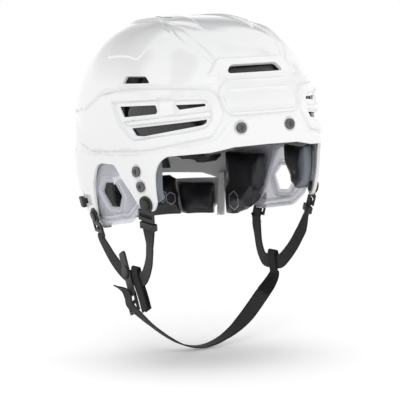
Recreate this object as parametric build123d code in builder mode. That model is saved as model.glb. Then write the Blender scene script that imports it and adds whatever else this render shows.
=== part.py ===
"""Ice hockey helmet: a one-piece shell, its liner, a rear cradle on a fit dial, ear guards and a chin strap.

Millimetres. +X is the wearer's left, -Y is the front and +Z is up. The origin is the centre of the head
opening, at the level where the shell is widest.
"""
from build123d import *
from functools import cache
from math import cos, pi, radians, sin
import os

os.makedirs("parts", exist_ok=True)

# Shell
half_width = 108.0
front_reach = 148.0
rear_reach = 133.0
crown_height = 149.0
skirt_depth = 82.0
shell_wall = 2.4
panel_rise = 2.2
plate_recess = 1.2
facet_rise = 0.9
ridge_rise = 2.6
hood_rise = 1.4

# Shape of the dome: exponents, counts and shares
plan_power = 2.6
dome_power = 2.7
skirt_power = 1.6
skirt_taper_share = 0.165
section_points = 28
slope_step_share = 0.001
skirt_level_shares = (-1, -0.62, -0.3, 0)
dome_level_shares = (0.2, 0.4, 0.58, 0.72, 0.83, 0.91, 0.96, 0.985, 0.998)

# Liner
soft_gap = 0.3
crown_pad_depth = 17.0
brow_pad_depth = 17.0
side_pad_depth = 15.0
temple_pad_depth = 13.0
cradle_pad_depth = 14.0
pad_edge_gap = 1.0
channel_width = 7.0
channel_depth = 4.0
pad_round = 4.0

# Ear guards
part_gap = 0.3
guard_wall = 2.2
guard_rise = 1.5
guard_rim = 5.0

# Screws, rivets and nuts
screw_pitch = 54.0
screw_height = 41.5
screw_radius = 2.1
screw_head_radius = 5.2
screw_head = 2.4
screw_sink = 0.4
screw_cross = 1.1
thread_gap = 0.05
nut_barrel_radius = 2.9
nut_flange_radius = 6.0
nut_flange = 1.2
hole_gap = 0.2

# Cradle and fit dial
cradle_inset = 6.2
cradle_wall = 2.2
cradle_travel = 10.0
rib_width = 8.0
rib_depth = 5.0
rib_heading = 45.4
knob_size = 11.0
knob_height = 4.0
knob_gap = 2.6
slot_gap = 0.8
stem_radius = 3.0
dial_level = -50.0
dial_radius = 15.0
dial_depth = 10.0
dial_pull = 3.0
dial_notches = 20
notch_radius = 1.3
housing_radius = 17.0
housing_depth = 7.0
housing_floor = 1.6
spool_radius = 7.0
spool_core_radius = 3.5
spool_length = 5.0
spool_rim = 1.2
drive_size = 4.6
drive_depth = 1.7
axle_radius = 1.6
axle_head_radius = 3.2
axle_head = 1.5
axle_sink = 3.3
running_gap = 0.06
lace_radius = 0.6
lace_inset = 4.6
anchor_length = 7.0
anchor_height = 8.0
anchor_bore = 4.9
lace_bend = 1.75

# Strap and its fittings
web_width = 15.0
web = 1.4
web_gap = 0.4
clip_wall = 2.0
clip_lift = 0.6
ring_radius = 8.2
stud_radius = 3.8
stud_shank_radius = 2.5
stud_cap_radius = 5.4
stud_cap = 1.4
clip_length = 18.0
hook_length = 18.0
clip_bar = 3.8
clip_lap = 7.3
neck_width = 9.0
keeper_length = 7.0
keeper_wall = 1.6
snap_radius = 3.2
snap_height = 2.5
snap_ring = 1.9
snap_cap = 1.2
tab_width = 13.0
tab_wall = 2.4
slider_size = 20.0
slider_wall = 2.8
slider_bar = 3.0
slider_edge = 2.0

# One length that takes the cuts past every wall
overrun = 40.0


# The dome, and places on it
def reach(y):
    return front_reach if y < 0 else rear_reach


def radius_share(level, top):
    """Share of its widest radius that the dome has at a level."""
    if level > 0:
        return (1 - (level / top) ** dome_power) ** (1 / dome_power)
    return 1 - skirt_taper_share * (-level / skirt_depth) ** skirt_power


def section(level, inset):
    """Points round the dome at a level, that far inside the outer face."""
    share = radius_share(level, crown_height - inset)
    across = half_width - inset
    points = []
    for step in range(section_points):
        turn = 2 * pi * step / section_points
        x, y = sin(turn), -cos(turn)
        along = reach(y) - inset
        radius = ((abs(x) / across) ** plan_power + (abs(y) / along) ** plan_power) ** (-1 / plan_power)
        points.append((share * radius * x, share * radius * y))
    return points


@cache
def dome(inset):
    """Solid dome, that far inside the outer face; a negative inset lies outside it."""
    top = crown_height - inset
    levels = [share * skirt_depth for share in skirt_level_shares]
    levels += [share * top for share in dome_level_shares]
    with BuildPart() as solid:
        for level in levels:
            with BuildSketch(Plane.XY.offset(level)):
                with BuildLine():
                    Spline(*section(level, inset), periodic=True)
                make_face()
        loft()
    return solid.part


def skin(outer, inner):
    """Layer of the dome between two insets."""
    with BuildPart() as layer:
        add(dome(outer))
        add(dome(inner), mode=Mode.SUBTRACT)
    return layer.part


def dome_x(y, z, inset=0):
    """Half-width of the dome at a place in its side view."""
    share = radius_share(z, crown_height - inset)
    ahead = abs(y) / (share * (reach(y) - inset))
    return share * (half_width - inset) * (1 - ahead**plan_power) ** (1 / plan_power)


def dome_y(x, z, inset, length):
    """How far the dome reaches to the front or the rear, at a place in its front view."""
    share = radius_share(z, crown_height - inset)
    aside = abs(x) / (share * (half_width - inset))
    return share * (length - inset) * (1 - aside**plan_power) ** (1 / plan_power)


def seat(y, z, along=(0, 0, -1)):
    """Plane on the dome's right side, facing out, with its x direction nearest to the one given."""
    step = slope_step_share * half_width
    slope_y = (dome_x(y + step, z) - dome_x(y - step, z)) / (2 * step)
    slope_z = (dome_x(y, z + step) - dome_x(y, z - step)) / (2 * step)
    out = Vector(-1, -slope_y, -slope_z).normalized()
    direction = Vector(*along)
    return Plane(origin=(-dome_x(y, z), y, z), x_dir=direction - out * direction.dot(out), z_dir=out)


def side_points(shares):
    """Places in the side view: shares of the reach and of the crown's height."""
    return [(y * reach(y), z * crown_height) for y, z in shares]


def front_points(shares):
    """Places in a front or slanted view: shares of the half-width and of the crown's height."""
    return [(x * half_width, z * crown_height) for x, z in shares]


def plan_points(shares):
    """Places in the view from above: shares of the half-width and of the reach."""
    return [(x * half_width, y * reach(y)) for x, y in shares]


def places(shares):
    """Places in space: shares of the half-width, the reach and the crown's height."""
    return [Vector(x * half_width, y * reach(y), z * crown_height) for x, y, z in shares]


def facing(heading):
    """Upright plane through the origin that faces out at a heading: 0 is ahead, 90 the wearer's right."""
    turn = radians(heading)
    return Plane(origin=(0, 0, 0), x_dir=(cos(turn), -sin(turn), 0), z_dir=(-sin(turn), -cos(turn), 0))


# Simple blocks
def prism(plane, points, depth, both=False):
    """Straight block on an outline."""
    with BuildPart() as block:
        with BuildSketch(plane):
            with BuildLine():
                Polyline(*points, close=True)
            make_face()
        extrude(amount=depth, both=both)
    return block.part


def disc(plane, radius, start, end):
    """Round block on a plane, between two heights above it."""
    with BuildPart() as block:
        with BuildSketch(plane.offset(start)):
            Circle(radius)
        extrude(amount=end - start)
    return block.part


def bar(plane, low, high, start, end):
    """Square block on a plane, between two corners and two heights."""
    corners = (low, (high[0], low[1]), high, (low[0], high[1]))
    return prism(plane.offset(start), corners, end - start)


def both_sides(part):
    """A block and its mirror image."""
    with BuildPart() as pair:
        add(part)
        mirror(part, about=Plane.YZ)
    return pair.part


def left_twin(piece):
    """The same piece on the wearer's left."""
    with BuildPart() as twin:
        mirror(piece.part, about=Plane.YZ)
    return twin


def ribbon(points, across, width, thickness):
    """Flat webbing through points; across gives the direction of its width at each one."""
    with BuildPart() as web_part:
        for index, point in enumerate(points):
            ahead = points[min(index + 1, len(points) - 1)] - points[max(index - 1, 0)]
            tangent = ahead.normalized()
            width_way = across[index] - tangent * across[index].dot(tangent)
            with BuildSketch(Plane(origin=point, x_dir=width_way, z_dir=tangent)):
                Rectangle(width, thickness)
        loft(ruled=True)
    return web_part.part


def save(piece, name):
    piece.part.label = name
    export_step(piece.part, f"parts/{name}.step")


def save_pair(piece, name):
    """The right piece, and its twin on the left."""
    save(piece, f"{name}_right")
    save(left_twin(piece), f"{name}_left")


# Places that several pieces share
stud_seat = seat(*side_points(((-0.52, -0.2013),))[0], along=(0, 0.2, -0.98))
rivet_seat = seat(*side_points(((0.2406, -0.3356),))[0], along=(0, 0.05, -0.99))
knob_seat = seat(*side_points(((0.3759, -0.2416),))[0])
temple_seats = [seat(*place) for place in side_points(((-0.473, 0.009), (-0.5, -0.0886)))]
screw_reach = dome_y(screw_pitch / 2, screw_height, 0, front_reach)
front_seats = [
    Plane(origin=(side * screw_pitch / 2, -screw_reach, screw_height), x_dir=(1, 0, 0), z_dir=(0, -1, 0))
    for side in (-1, 1)
]
nut_hole_radius = nut_barrel_radius + hole_gap
flange_room = nut_flange_radius + part_gap
guard_inset = shell_wall + part_gap
guard_inner = guard_inset + guard_wall
pad_inset = shell_wall + soft_gap
far_side = half_width + overrun
far_end = front_reach + overrun
far_top = crown_height + overrun

# Outer shell, its edge in the side view first
shell_edge_shares = (
    (-1.25, 0.168), (-0.985, 0.165), (-0.919, 0.134), (-0.703, 0.114), (-0.645, 0.06), (-0.622, 0.0),
    (-0.598, -0.2), (-0.565, -0.245), (-0.527, -0.255), (-0.446, -0.221), (-0.4, -0.14), (-0.23, 0.047),
    (-0.027, 0.047), (0.05, 0.02), (0.143, -0.107), (0.2, -0.3), (0.24, -0.375), (0.3, -0.39), (0.4, -0.36),
    (0.602, -0.242), (0.82, -0.165), (1.3, -0.128), (1.3, 1.3), (-1.25, 1.3),
)
pod_heading = 60
pod_shares = (
    (0.237, 0.546), (0.55, 0.543), (0.825, 0.528), (0.885, 0.46), (0.921, 0.391), (0.925, 0.344),
    (0.854, 0.222), (0.264, 0.142), (-0.567, 0.11), (-0.85, 0.16), (-0.78, 0.37), (-0.44, 0.505),
    (-0.12, 0.541),
)
pod_recess_shares = (
    (-0.24, 0.455), (0.309, 0.468), (0.76, 0.462), (0.825, 0.415), (0.84, 0.347), (0.8, 0.29), (0.63, 0.263),
    (0.085, 0.212), (-0.01, 0.255), (-0.115, 0.31),
)
rib_shares = ((-0.1, 0.328), (0.845, 0.392), (0.848, 0.358), (0.0, 0.304))
pillar_shares = ((0.36, 0.47), (0.5, 0.47), (0.535, 0.37), (0.375, 0.35))
plate_shares = (
    (-0.34, 0.355), (-0.385, 0.39), (-0.41, 0.49), (-0.38, 0.545), (-0.3, 0.582), (0.3, 0.582), (0.38, 0.545),
    (0.41, 0.49), (0.385, 0.39), (0.34, 0.355),
)
bare_plate_shares = (
    (-0.32, 0.378), (-0.355, 0.4), (-0.37, 0.49), (-0.32, 0.526), (0.32, 0.526), (0.37, 0.49), (0.355, 0.4),
    (0.32, 0.378),
)
hood_shares = ((-0.32, 0.717), (0.32, 0.717), (0.46, 0.604), (-0.46, 0.604))
ridge_shares = (
    (0.25, -0.6), (0.42, -0.3), (0.44, 0.2), (0.36, 0.62), (0.22, 0.62), (0.2, 0.2), (0.2, -0.3),
)
facet_shares = (
    (0.81, 0.06), (0.79, -0.35), (0.58, -0.45), (0.51, -0.45), (0.5, -0.33), (0.54, -0.09), (0.66, 0.2),
)
front_vent_shares = (
    (-0.235, 0.678), (0.235, 0.678), (0.285, 0.635), (0.27, 0.612), (-0.27, 0.612), (-0.285, 0.635),
)
crown_slit_shares = ((0.3, -0.22), (0.345, -0.22), (0.36, -0.02), (0.315, -0.02))
# Each side vent by its heading and its outline: small upper, rear upper, front upper, long lower, rear
side_vent_shares = (
    (75, ((0.15, 0.626), (0.434, 0.626), (0.5, 0.586), (0.497, 0.57), (0.129, 0.567), (0.124, 0.586))),
    (75, ((0.095, 0.432), (0.606, 0.446), (0.638, 0.396), (0.617, 0.377), (0.192, 0.352), (0.129, 0.405))),
    (45, ((0.2, 0.445), (0.485, 0.449), (0.496, 0.422), (0.241, 0.402))),
    (54, ((-0.101, 0.294), (0.696, 0.349), (0.691, 0.318), (0.657, 0.301), (0.066, 0.233), (-0.033, 0.236))),
    (160, ((-0.22, 0.5), (0.16, 0.5), (0.12, 0.43), (-0.16, 0.43))),
)


def panel(rise, plane, points, depth):
    """What stands out of the dome inside an outline."""
    with BuildPart() as part:
        add(skin(-rise, shell_wall))
        add(prism(plane, points, depth), mode=Mode.INTERSECT)
    return part.part


def pod():
    """Raised pod on the side, with a recess for its vents and a rib and a pillar across the recess."""
    view = facing(pod_heading)
    with BuildPart() as part:
        add(panel(panel_rise, view, front_points(pod_shares), far_end))
        add(prism(view, front_points(pod_recess_shares), far_end), mode=Mode.SUBTRACT)
        for shares in (rib_shares, pillar_shares):
            add(panel(panel_rise, view, front_points(shares), far_end))
    return part.part


def bare_plate_room():
    """The space that the bare plate is let into."""
    with BuildPart() as part:
        add(skin(-panel_rise - plate_recess, plate_recess - panel_rise))
        add(prism(Plane.XZ, front_points(bare_plate_shares), far_end), mode=Mode.INTERSECT)
    return part.part


with BuildPart() as outer_shell:
    add(dome(0))
    add(panel(panel_rise, Plane.XZ, front_points(plate_shares), far_end))
    add(panel(hood_rise, Plane.XZ, front_points(hood_shares), far_end))
    add(both_sides(pod()))
    add(both_sides(panel(ridge_rise, Plane.XY, plan_points(ridge_shares), far_top)))
    add(both_sides(panel(facet_rise, Plane.XY, plan_points(facet_shares), far_top)))
    add(dome(shell_wall), mode=Mode.SUBTRACT)
    add(prism(Plane.YZ, side_points(shell_edge_shares), far_side, both=True), mode=Mode.INTERSECT)
    add(bare_plate_room(), mode=Mode.SUBTRACT)
    # Vents
    add(prism(Plane.XZ, front_points(front_vent_shares), far_end), mode=Mode.SUBTRACT)
    add(both_sides(prism(Plane.XY, plan_points(crown_slit_shares), far_top)), mode=Mode.SUBTRACT)
    for heading, shares in side_vent_shares:
        vent = prism(facing(heading), front_points(shares), far_end)
        add(both_sides(vent), mode=Mode.SUBTRACT)
    # Holes and flats for the screws, the studs, the rivets and the cradle's knobs
    for place in front_seats:
        add(disc(place, nut_hole_radius, -overrun, overrun), mode=Mode.SUBTRACT)
        add(disc(place, screw_head_radius + hole_gap, -screw_sink, overrun), mode=Mode.SUBTRACT)
        add(disc(place, flange_room, -overrun, -shell_wall), mode=Mode.SUBTRACT)
    for place in temple_seats:
        add(both_sides(disc(place, nut_hole_radius, -overrun, overrun)), mode=Mode.SUBTRACT)
        add(both_sides(disc(place, screw_head_radius + hole_gap, -screw_sink, overrun)), mode=Mode.SUBTRACT)
    for place in (stud_seat, rivet_seat):
        add(both_sides(disc(place, stud_shank_radius + hole_gap, -overrun, overrun)), mode=Mode.SUBTRACT)
        add(both_sides(disc(place, stud_cap_radius + hole_gap, -screw_sink, overrun)), mode=Mode.SUBTRACT)
    add(both_sides(disc(stud_seat, flange_room, -overrun, -shell_wall)), mode=Mode.SUBTRACT)
    slot_half = stem_radius + slot_gap
    slot = bar(knob_seat, (-slot_half, -slot_half), (slot_half, cradle_travel + slot_half), -overrun, overrun)
    add(both_sides(slot), mode=Mode.SUBTRACT)
save(outer_shell, "outer_shell")


# Screws with a cross recess, and flanged nuts behind the wall
def screw(place, inner):
    """Screw from its seat in the shell to the nut's flange."""
    with BuildPart() as part:
        add(disc(place, screw_radius, -inner - nut_flange, -screw_sink))
        add(disc(place, screw_head_radius, -screw_sink, screw_head - screw_sink))
        arm = screw_head_radius / 2
        depth = screw_head - screw_sink - screw_head / 2
        for half_x, half_y in ((arm, screw_cross / 2), (screw_cross / 2, arm)):
            add(bar(place, (-half_x, -half_y), (half_x, half_y), depth, screw_head), mode=Mode.SUBTRACT)
    return part.part


def flanged_nut(place, inner):
    """Nut whose barrel stands through the wall, up to the screw's head."""
    with BuildPart() as part:
        add(disc(place, nut_barrel_radius, -inner, -screw_sink - part_gap))
        add(disc(place, nut_flange_radius, -inner - nut_flange, -inner))
        add(disc(place, screw_radius + thread_gap, -overrun, overrun), mode=Mode.SUBTRACT)
    return part.part


with BuildPart() as brow_screws:
    for place in front_seats:
        add(screw(place, shell_wall))
save(brow_screws, "brow_screws")

with BuildPart() as brow_nuts:
    for place in front_seats:
        add(flanged_nut(place, shell_wall))
save(brow_nuts, "brow_nuts")

with BuildPart() as temple_screws:
    for place in temple_seats:
        add(screw(place, guard_inner))
save_pair(temple_screws, "temple_screws")

with BuildPart() as temple_nuts:
    for place in temple_seats:
        add(flanged_nut(place, guard_inner))
save_pair(temple_nuts, "temple_nuts")

# Ear guards: a clear plate behind the shell's edge, with a raised rim round the ear hole
guard_shares = (
    (-0.581, 0.054), (-0.568, -0.134), (-0.473, -0.151), (-0.446, -0.242), (-0.277, -0.349), (0.128, -0.403),
    (0.3, -0.385), (0.32, -0.295), (0.21, -0.2), (0.105, 0.094), (-0.068, 0.121), (-0.405, 0.121),
)
ear_hole_shares = (
    (0.045, -0.161), (-0.027, -0.087), (-0.182, -0.081), (-0.25, -0.168), (-0.182, -0.255), (-0.041, -0.262),
)


def rim_block():
    """The ear hole's outline, widened by the rim."""
    with BuildPart() as part:
        with BuildSketch(Plane.YZ):
            with BuildLine():
                Polyline(*side_points(ear_hole_shares), close=True)
            make_face()
            offset(amount=guard_rim, kind=Kind.INTERSECTION)
        extrude(amount=-far_side)
    return part.part


def raised_rim():
    with BuildPart() as part:
        add(skin(guard_inset - guard_rise, guard_inner))
        add(rim_block(), mode=Mode.INTERSECT)
    return part.part


with BuildPart() as ear_guard:
    add(skin(guard_inset, guard_inner))
    add(prism(Plane.YZ, side_points(guard_shares), -far_side), mode=Mode.INTERSECT)
    add(raised_rim())
    add(prism(Plane.YZ, side_points(ear_hole_shares), -far_side), mode=Mode.SUBTRACT)
    for place in temple_seats:
        add(disc(place, nut_hole_radius, -overrun, overrun), mode=Mode.SUBTRACT)
        add(disc(place, flange_room, -overrun, -guard_inner), mode=Mode.SUBTRACT)
    add(disc(rivet_seat, stud_shank_radius + hole_gap, -overrun, overrun), mode=Mode.SUBTRACT)
    add(disc(rivet_seat, flange_room, -overrun, -guard_inner), mode=Mode.SUBTRACT)
save_pair(ear_guard, "ear_guard")

# Liner pads, each cut from a layer of the dome by a side view and a plan
brow_shares = (
    (-0.537, 0.094), (-0.28, 0.124), (0, 0.134), (0.28, 0.124), (0.537, 0.094), (0.537, 0.42), (-0.537, 0.42),
)
crown_pad_plan_shares = (
    (-0.28, -1.2), (0.28, -1.2), (0.28, 0.9), (0.2, 0.96), (-0.2, 0.96), (-0.28, 0.9),
)
crown_side_plan_shares = (
    (-0.31, -0.83), (-0.55, -0.7), (-0.8, -0.4), (-0.9, 0), (-0.78, 0.4), (-0.5, 0.72), (-0.31, 0.8),
)
front_side_shares = ((-1.2, 0.15), (-0.68, 0.15), (-0.318, 0.15), (-0.318, 0.564), (-1.2, 0.564))
side_shares = (
    (-0.297, 0.14), (0.14, 0.14), (0.24, 0.054), (0.63, 0.054), (0.67, -0.08), (0.72, -0.11), (0.85, -0.05),
    (1.2, -0.03), (1.2, 0.564), (-0.297, 0.564),
)
temple_shares = (
    (-0.595, 0.094), (-0.17, 0.094), (-0.2, -0.06), (-0.31, -0.19), (-0.42, -0.235), (-0.575, -0.2),
)
rear_shares = ((-0.34, -0.135), (0.34, -0.135), (0.34, 0.42), (-0.34, 0.42))
crown_pad_level_share = 0.47
crown_side_level_share = 0.6
brow_edge_share = 0.565
side_edge_share = 0.355


def channel(inset, depth, plane, half, length):
    """Air channel along a pad's inner face."""
    with BuildPart() as part:
        add(skin(inset - depth, inset + depth))
        add(bar(plane, (-half, -length), (half, length), 0, length), mode=Mode.INTERSECT)
    return part.part


def inner_face(pad):
    """The face of a pad that touches the head."""
    return pad.faces().sort_by_distance((0, 0, 0))[0]


with BuildPart() as brow_pad:
    add(skin(pad_inset, pad_inset + brow_pad_depth))
    add(prism(Plane.XZ, front_points(brow_shares), far_end), mode=Mode.INTERSECT)
    for place in front_seats:
        add(disc(place, flange_room, -shell_wall - nut_flange - part_gap, overrun), mode=Mode.SUBTRACT)
save(brow_pad, "brow_pad")

crown_level = Plane.XY.offset(crown_pad_level_share * crown_height)
with BuildPart() as crown_pad:
    add(skin(pad_inset, pad_inset + crown_pad_depth))
    add(prism(crown_level, plan_points(crown_pad_plan_shares), far_top), mode=Mode.INTERSECT)
    crown_face = pad_inset + crown_pad_depth
    add(channel(crown_face, channel_depth, crown_level, channel_width / 2, far_end), mode=Mode.SUBTRACT)
save(crown_pad, "crown_pad")

crown_side_level = Plane.XY.offset(crown_side_level_share * crown_height)
with BuildPart() as crown_side_pad:
    add(skin(pad_inset, pad_inset + crown_pad_depth))
    add(prism(crown_side_level, plan_points(crown_side_plan_shares), far_top), mode=Mode.INTERSECT)
save_pair(crown_side_pad, "crown_side_pad")

with BuildPart() as front_side_pad:
    add(skin(pad_inset, pad_inset + side_pad_depth))
    add(prism(Plane.YZ, side_points(front_side_shares), -far_side), mode=Mode.INTERSECT)
    edge = -brow_edge_share * half_width
    add(bar(Plane.XY, (-far_side, -far_end), (edge, 0), 0, far_top), mode=Mode.INTERSECT)
    fillet(inner_face(front_side_pad).edges(), pad_round)
save_pair(front_side_pad, "front_side_pad")

with BuildPart() as side_pad:
    add(skin(pad_inset, pad_inset + side_pad_depth))
    add(prism(Plane.YZ, side_points(side_shares), -far_side), mode=Mode.INTERSECT)
    edge = -side_edge_share * half_width
    add(bar(Plane.XY, (-far_side, -far_end), (edge, far_end), -far_top, far_top), mode=Mode.INTERSECT)
    fillet(inner_face(side_pad).edges(), pad_round)
save_pair(side_pad, "side_pad")

with BuildPart() as temple_pad:
    temple_inset = guard_inner + soft_gap
    add(skin(temple_inset, temple_inset + temple_pad_depth))
    add(prism(Plane.YZ, side_points(temple_shares), -far_side), mode=Mode.INTERSECT)
    for place in temple_seats:
        add(disc(place, flange_room, -guard_inner - nut_flange - part_gap, overrun), mode=Mode.SUBTRACT)
    fillet(inner_face(temple_pad).edges(), pad_round)
save_pair(temple_pad, "temple_pad")

with BuildPart() as rear_pad:
    add(skin(pad_inset, pad_inset + side_pad_depth))
    add(prism(Plane.XZ, front_points(rear_shares), -far_end), mode=Mode.INTERSECT)
    fillet(inner_face(rear_pad).edges(), pad_round)
save(rear_pad, "rear_pad")

# Rear cradle: a band behind the head with arms, ribs and pads, which slides forward inside the shell
cradle_shares = (
    (0.286, -0.188), (0.586, -0.188), (0.7, -0.2), (1.2, -0.2), (1.2, -0.45), (0.77, -0.45), (0.64, -0.42),
    (0.56, -0.295), (0.286, -0.295),
)
rib_level_shares = (-0.465, -0.155)
nape_shares = ((-0.335, -0.46), (0.335, -0.46), (0.335, -0.15), (-0.335, -0.15))
neck_pad_shares = ((0.343, -0.46), (0.8, -0.46), (0.8, -0.215), (0.343, -0.21))
neck_side_shares = (
    (0.1, -0.02), (0.13, 0.015), (0.62, 0.015), (0.62, -0.46), (0.36, -0.46), (0.2, -0.4), (0.1, -0.28),
)
neck_side_edge_share = 0.655
cradle_inner = cradle_inset + cradle_wall
cradle_pad_inset = cradle_inner + soft_gap
cradle_face = cradle_pad_inset + cradle_pad_depth


# Upright plane through the right rib, whose second direction points ahead of it
rib_turn = radians(rib_heading)
rib_plane = Plane(origin=(0, 0, 0), x_dir=(-cos(rib_turn), sin(rib_turn), 0), z_dir=(0, 0, 1))
rib_room = rib_width / 2 + part_gap + pad_edge_gap


def rib():
    """Upright rib of the cradle, between two pads."""
    low, high = (share * crown_height for share in rib_level_shares)
    with BuildPart() as part:
        add(skin(cradle_inset, cradle_inner + rib_depth))
        add(bar(rib_plane, (0, -rib_width / 2), (far_end, rib_width / 2), low, high), mode=Mode.INTERSECT)
    return part.part


with BuildPart() as cradle:
    add(skin(cradle_inset, cradle_inner))
    add(prism(Plane.YZ, side_points(cradle_shares), far_side, both=True), mode=Mode.INTERSECT)
    add(both_sides(rib()))
save(cradle, "cradle")

with BuildPart() as nape_pad:
    add(skin(cradle_pad_inset, cradle_face))
    add(prism(Plane.XZ, front_points(nape_shares), -far_end), mode=Mode.INTERSECT)
    fillet(inner_face(nape_pad).edges(), pad_round)
save(nape_pad, "nape_pad")

with BuildPart() as neck_pad:
    add(skin(cradle_pad_inset, cradle_face))
    right = [(-x, z) for x, z in front_points(neck_pad_shares)]
    add(prism(Plane.XZ, right, -far_end), mode=Mode.INTERSECT)
    add(bar(rib_plane, (0, -far_end), (far_end, -rib_room), -far_top, far_top), mode=Mode.INTERSECT)
save_pair(neck_pad, "neck_pad")

with BuildPart() as neck_side_pad:
    add(skin(cradle_pad_inset, cradle_face))
    add(prism(Plane.YZ, side_points(neck_side_shares), -far_side), mode=Mode.INTERSECT)
    edge = -neck_side_edge_share * half_width
    add(bar(Plane.XY, (-far_side, 0), (edge, far_end), -far_top, far_top), mode=Mode.INTERSECT)
    add(bar(rib_plane, (-far_end, rib_room), (far_end, far_end), -far_top, far_top), mode=Mode.INTERSECT)
save_pair(neck_side_pad, "neck_side_pad")

with BuildPart() as cradle_knob:
    half = knob_size / 2
    add(disc(knob_seat, stem_radius, -cradle_inner, knob_gap))
    add(dome(cradle_inset), mode=Mode.SUBTRACT)
    add(bar(knob_seat, (-half, -half), (half, half), knob_gap, knob_gap + knob_height))
save_pair(cradle_knob, "cradle_knob")

# Fit dial behind the cradle: it turns a spool that draws the laces in, and pulls out to free them
dial_seat = dome_y(0, dial_level, cradle_inset, rear_reach)
dial_plane = Plane(origin=(0, dial_seat, dial_level), x_dir=(1, 0, 0), z_dir=(0, 1, 0))
spool_start = housing_floor + part_gap
spool_end = spool_start + spool_length
drive_start = spool_end - drive_depth
dial_start = housing_depth + part_gap
dial_floor = dial_start + axle_sink
axle_end = dial_floor + dial_pull
lace_height = spool_start + spool_rim + lace_radius + running_gap / 2

with BuildPart() as dial_housing:
    add(disc(dial_plane, housing_radius, -cradle_wall, housing_depth))
    add(dome(cradle_inset - part_gap), mode=Mode.SUBTRACT)
    add(disc(dial_plane, spool_radius + part_gap, housing_floor, overrun), mode=Mode.SUBTRACT)
    add(disc(dial_plane, axle_radius + running_gap, -overrun, overrun), mode=Mode.SUBTRACT)
    lace_hole = Plane(origin=(0, dial_seat + lace_height, dial_level), x_dir=(0, 1, 0), z_dir=(1, 0, 0))
    add(disc(lace_hole, 2 * lace_radius, -overrun, overrun), mode=Mode.SUBTRACT)
save(dial_housing, "dial_housing")

with BuildPart() as dial_spool:
    add(disc(dial_plane, spool_radius, spool_start, spool_end))
    with BuildSketch(dial_plane.offset(spool_start + spool_rim)):
        Circle(spool_radius + overrun)
        Circle(spool_core_radius, mode=Mode.SUBTRACT)
    extrude(amount=2 * lace_radius + running_gap, mode=Mode.SUBTRACT)
    add(disc(dial_plane, axle_radius + running_gap, -overrun, overrun), mode=Mode.SUBTRACT)
    with BuildSketch(dial_plane.offset(drive_start)):
        RegularPolygon(drive_size + part_gap, 6)
    extrude(amount=overrun, mode=Mode.SUBTRACT)
save(dial_spool, "dial_spool")

with BuildPart() as fit_dial:
    add(disc(dial_plane, dial_radius, dial_start, dial_start + dial_depth))
    with BuildSketch(dial_plane.offset(dial_start)):
        with PolarLocations(dial_radius, dial_notches):
            Circle(notch_radius)
    extrude(amount=dial_depth, mode=Mode.SUBTRACT)
    with BuildSketch(dial_plane.offset(drive_start + part_gap)):
        RegularPolygon(drive_size, 6)
    extrude(amount=dial_start - drive_start - part_gap)
    add(disc(dial_plane, axle_head_radius + part_gap, dial_floor, overrun), mode=Mode.SUBTRACT)
    add(disc(dial_plane, axle_radius + running_gap, -overrun, overrun), mode=Mode.SUBTRACT)
save(fit_dial, "fit_dial")

with BuildPart() as dial_axle:
    add(disc(dial_plane, axle_radius, 2 * part_gap, axle_end))
    add(disc(dial_plane, axle_head_radius, axle_end, axle_end + axle_head))
save(dial_axle, "dial_axle")

# Laces from the spool, round the outside of the cradle, to an anchor on the shell's inner face
lace_x_shares = (0.29, 0.43, 0.56, 0.67, 0.76, 0.82)
anchor_y_share = 0.34
anchor_level = dial_level
anchor_y = anchor_y_share * rear_reach
anchor_end = anchor_y + anchor_length
lace_end_y = anchor_end - anchor_length / 2


def lace_path():
    """Places along the right lace, from the dial's housing to the anchor."""
    path = [Vector(-spool_radius - 2 * part_gap, dial_seat + lace_height, dial_level)]
    path.append(Vector(-housing_radius - lace_inset, dial_seat + lace_height, dial_level))
    for share in lace_x_shares:
        x = share * half_width
        path.append(Vector(-x, dome_y(x, dial_level, lace_inset, rear_reach), dial_level))
    path.append(Vector(-dome_x(anchor_end, dial_level, lace_inset), anchor_end, dial_level))
    path.append(Vector(-dome_x(lace_end_y, dial_level, lace_inset), lace_end_y, dial_level))
    return path


with BuildPart() as lace:
    with BuildLine() as lace_line:
        FilletPolyline(*lace_path(), radius=lace_bend)
    with BuildSketch(lace_line.line ^ 0):
        Circle(lace_radius)
    sweep()
save_pair(lace, "lace")

with BuildPart() as lace_anchor:
    add(skin(pad_inset, lace_inset + 3 * lace_radius))
    low = anchor_level - anchor_height / 2
    anchor_plane = Plane.XY.offset(low)
    size = bar(anchor_plane, (-far_side, anchor_y), (0, anchor_end), 0, anchor_height)
    add(size, mode=Mode.INTERSECT)
    x = -dome_x(anchor_end, dial_level, lace_inset)
    end_x = -dome_x(lace_end_y, dial_level, lace_inset)
    bore = Plane(
        origin=(x, anchor_end, dial_level), x_dir=(0, 0, 1), z_dir=(x - end_x, anchor_end - lace_end_y, 0)
    )
    add(disc(bore, lace_radius + part_gap, -anchor_bore, overrun), mode=Mode.SUBTRACT)
save_pair(lace_anchor, "lace_anchor")

# Front strap studs and rear strap rivets, and the clips that swing on them
def stud(place, inner):
    top = clip_lift + clip_wall + web_gap
    with BuildPart() as part:
        add(disc(place, stud_cap_radius, -inner - nut_flange, -inner))
        add(disc(place, stud_shank_radius, -inner, -screw_sink))
        add(disc(place, stud_radius, -screw_sink, top))
        add(disc(place, stud_cap_radius, top, top + stud_cap))
    return part


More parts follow.
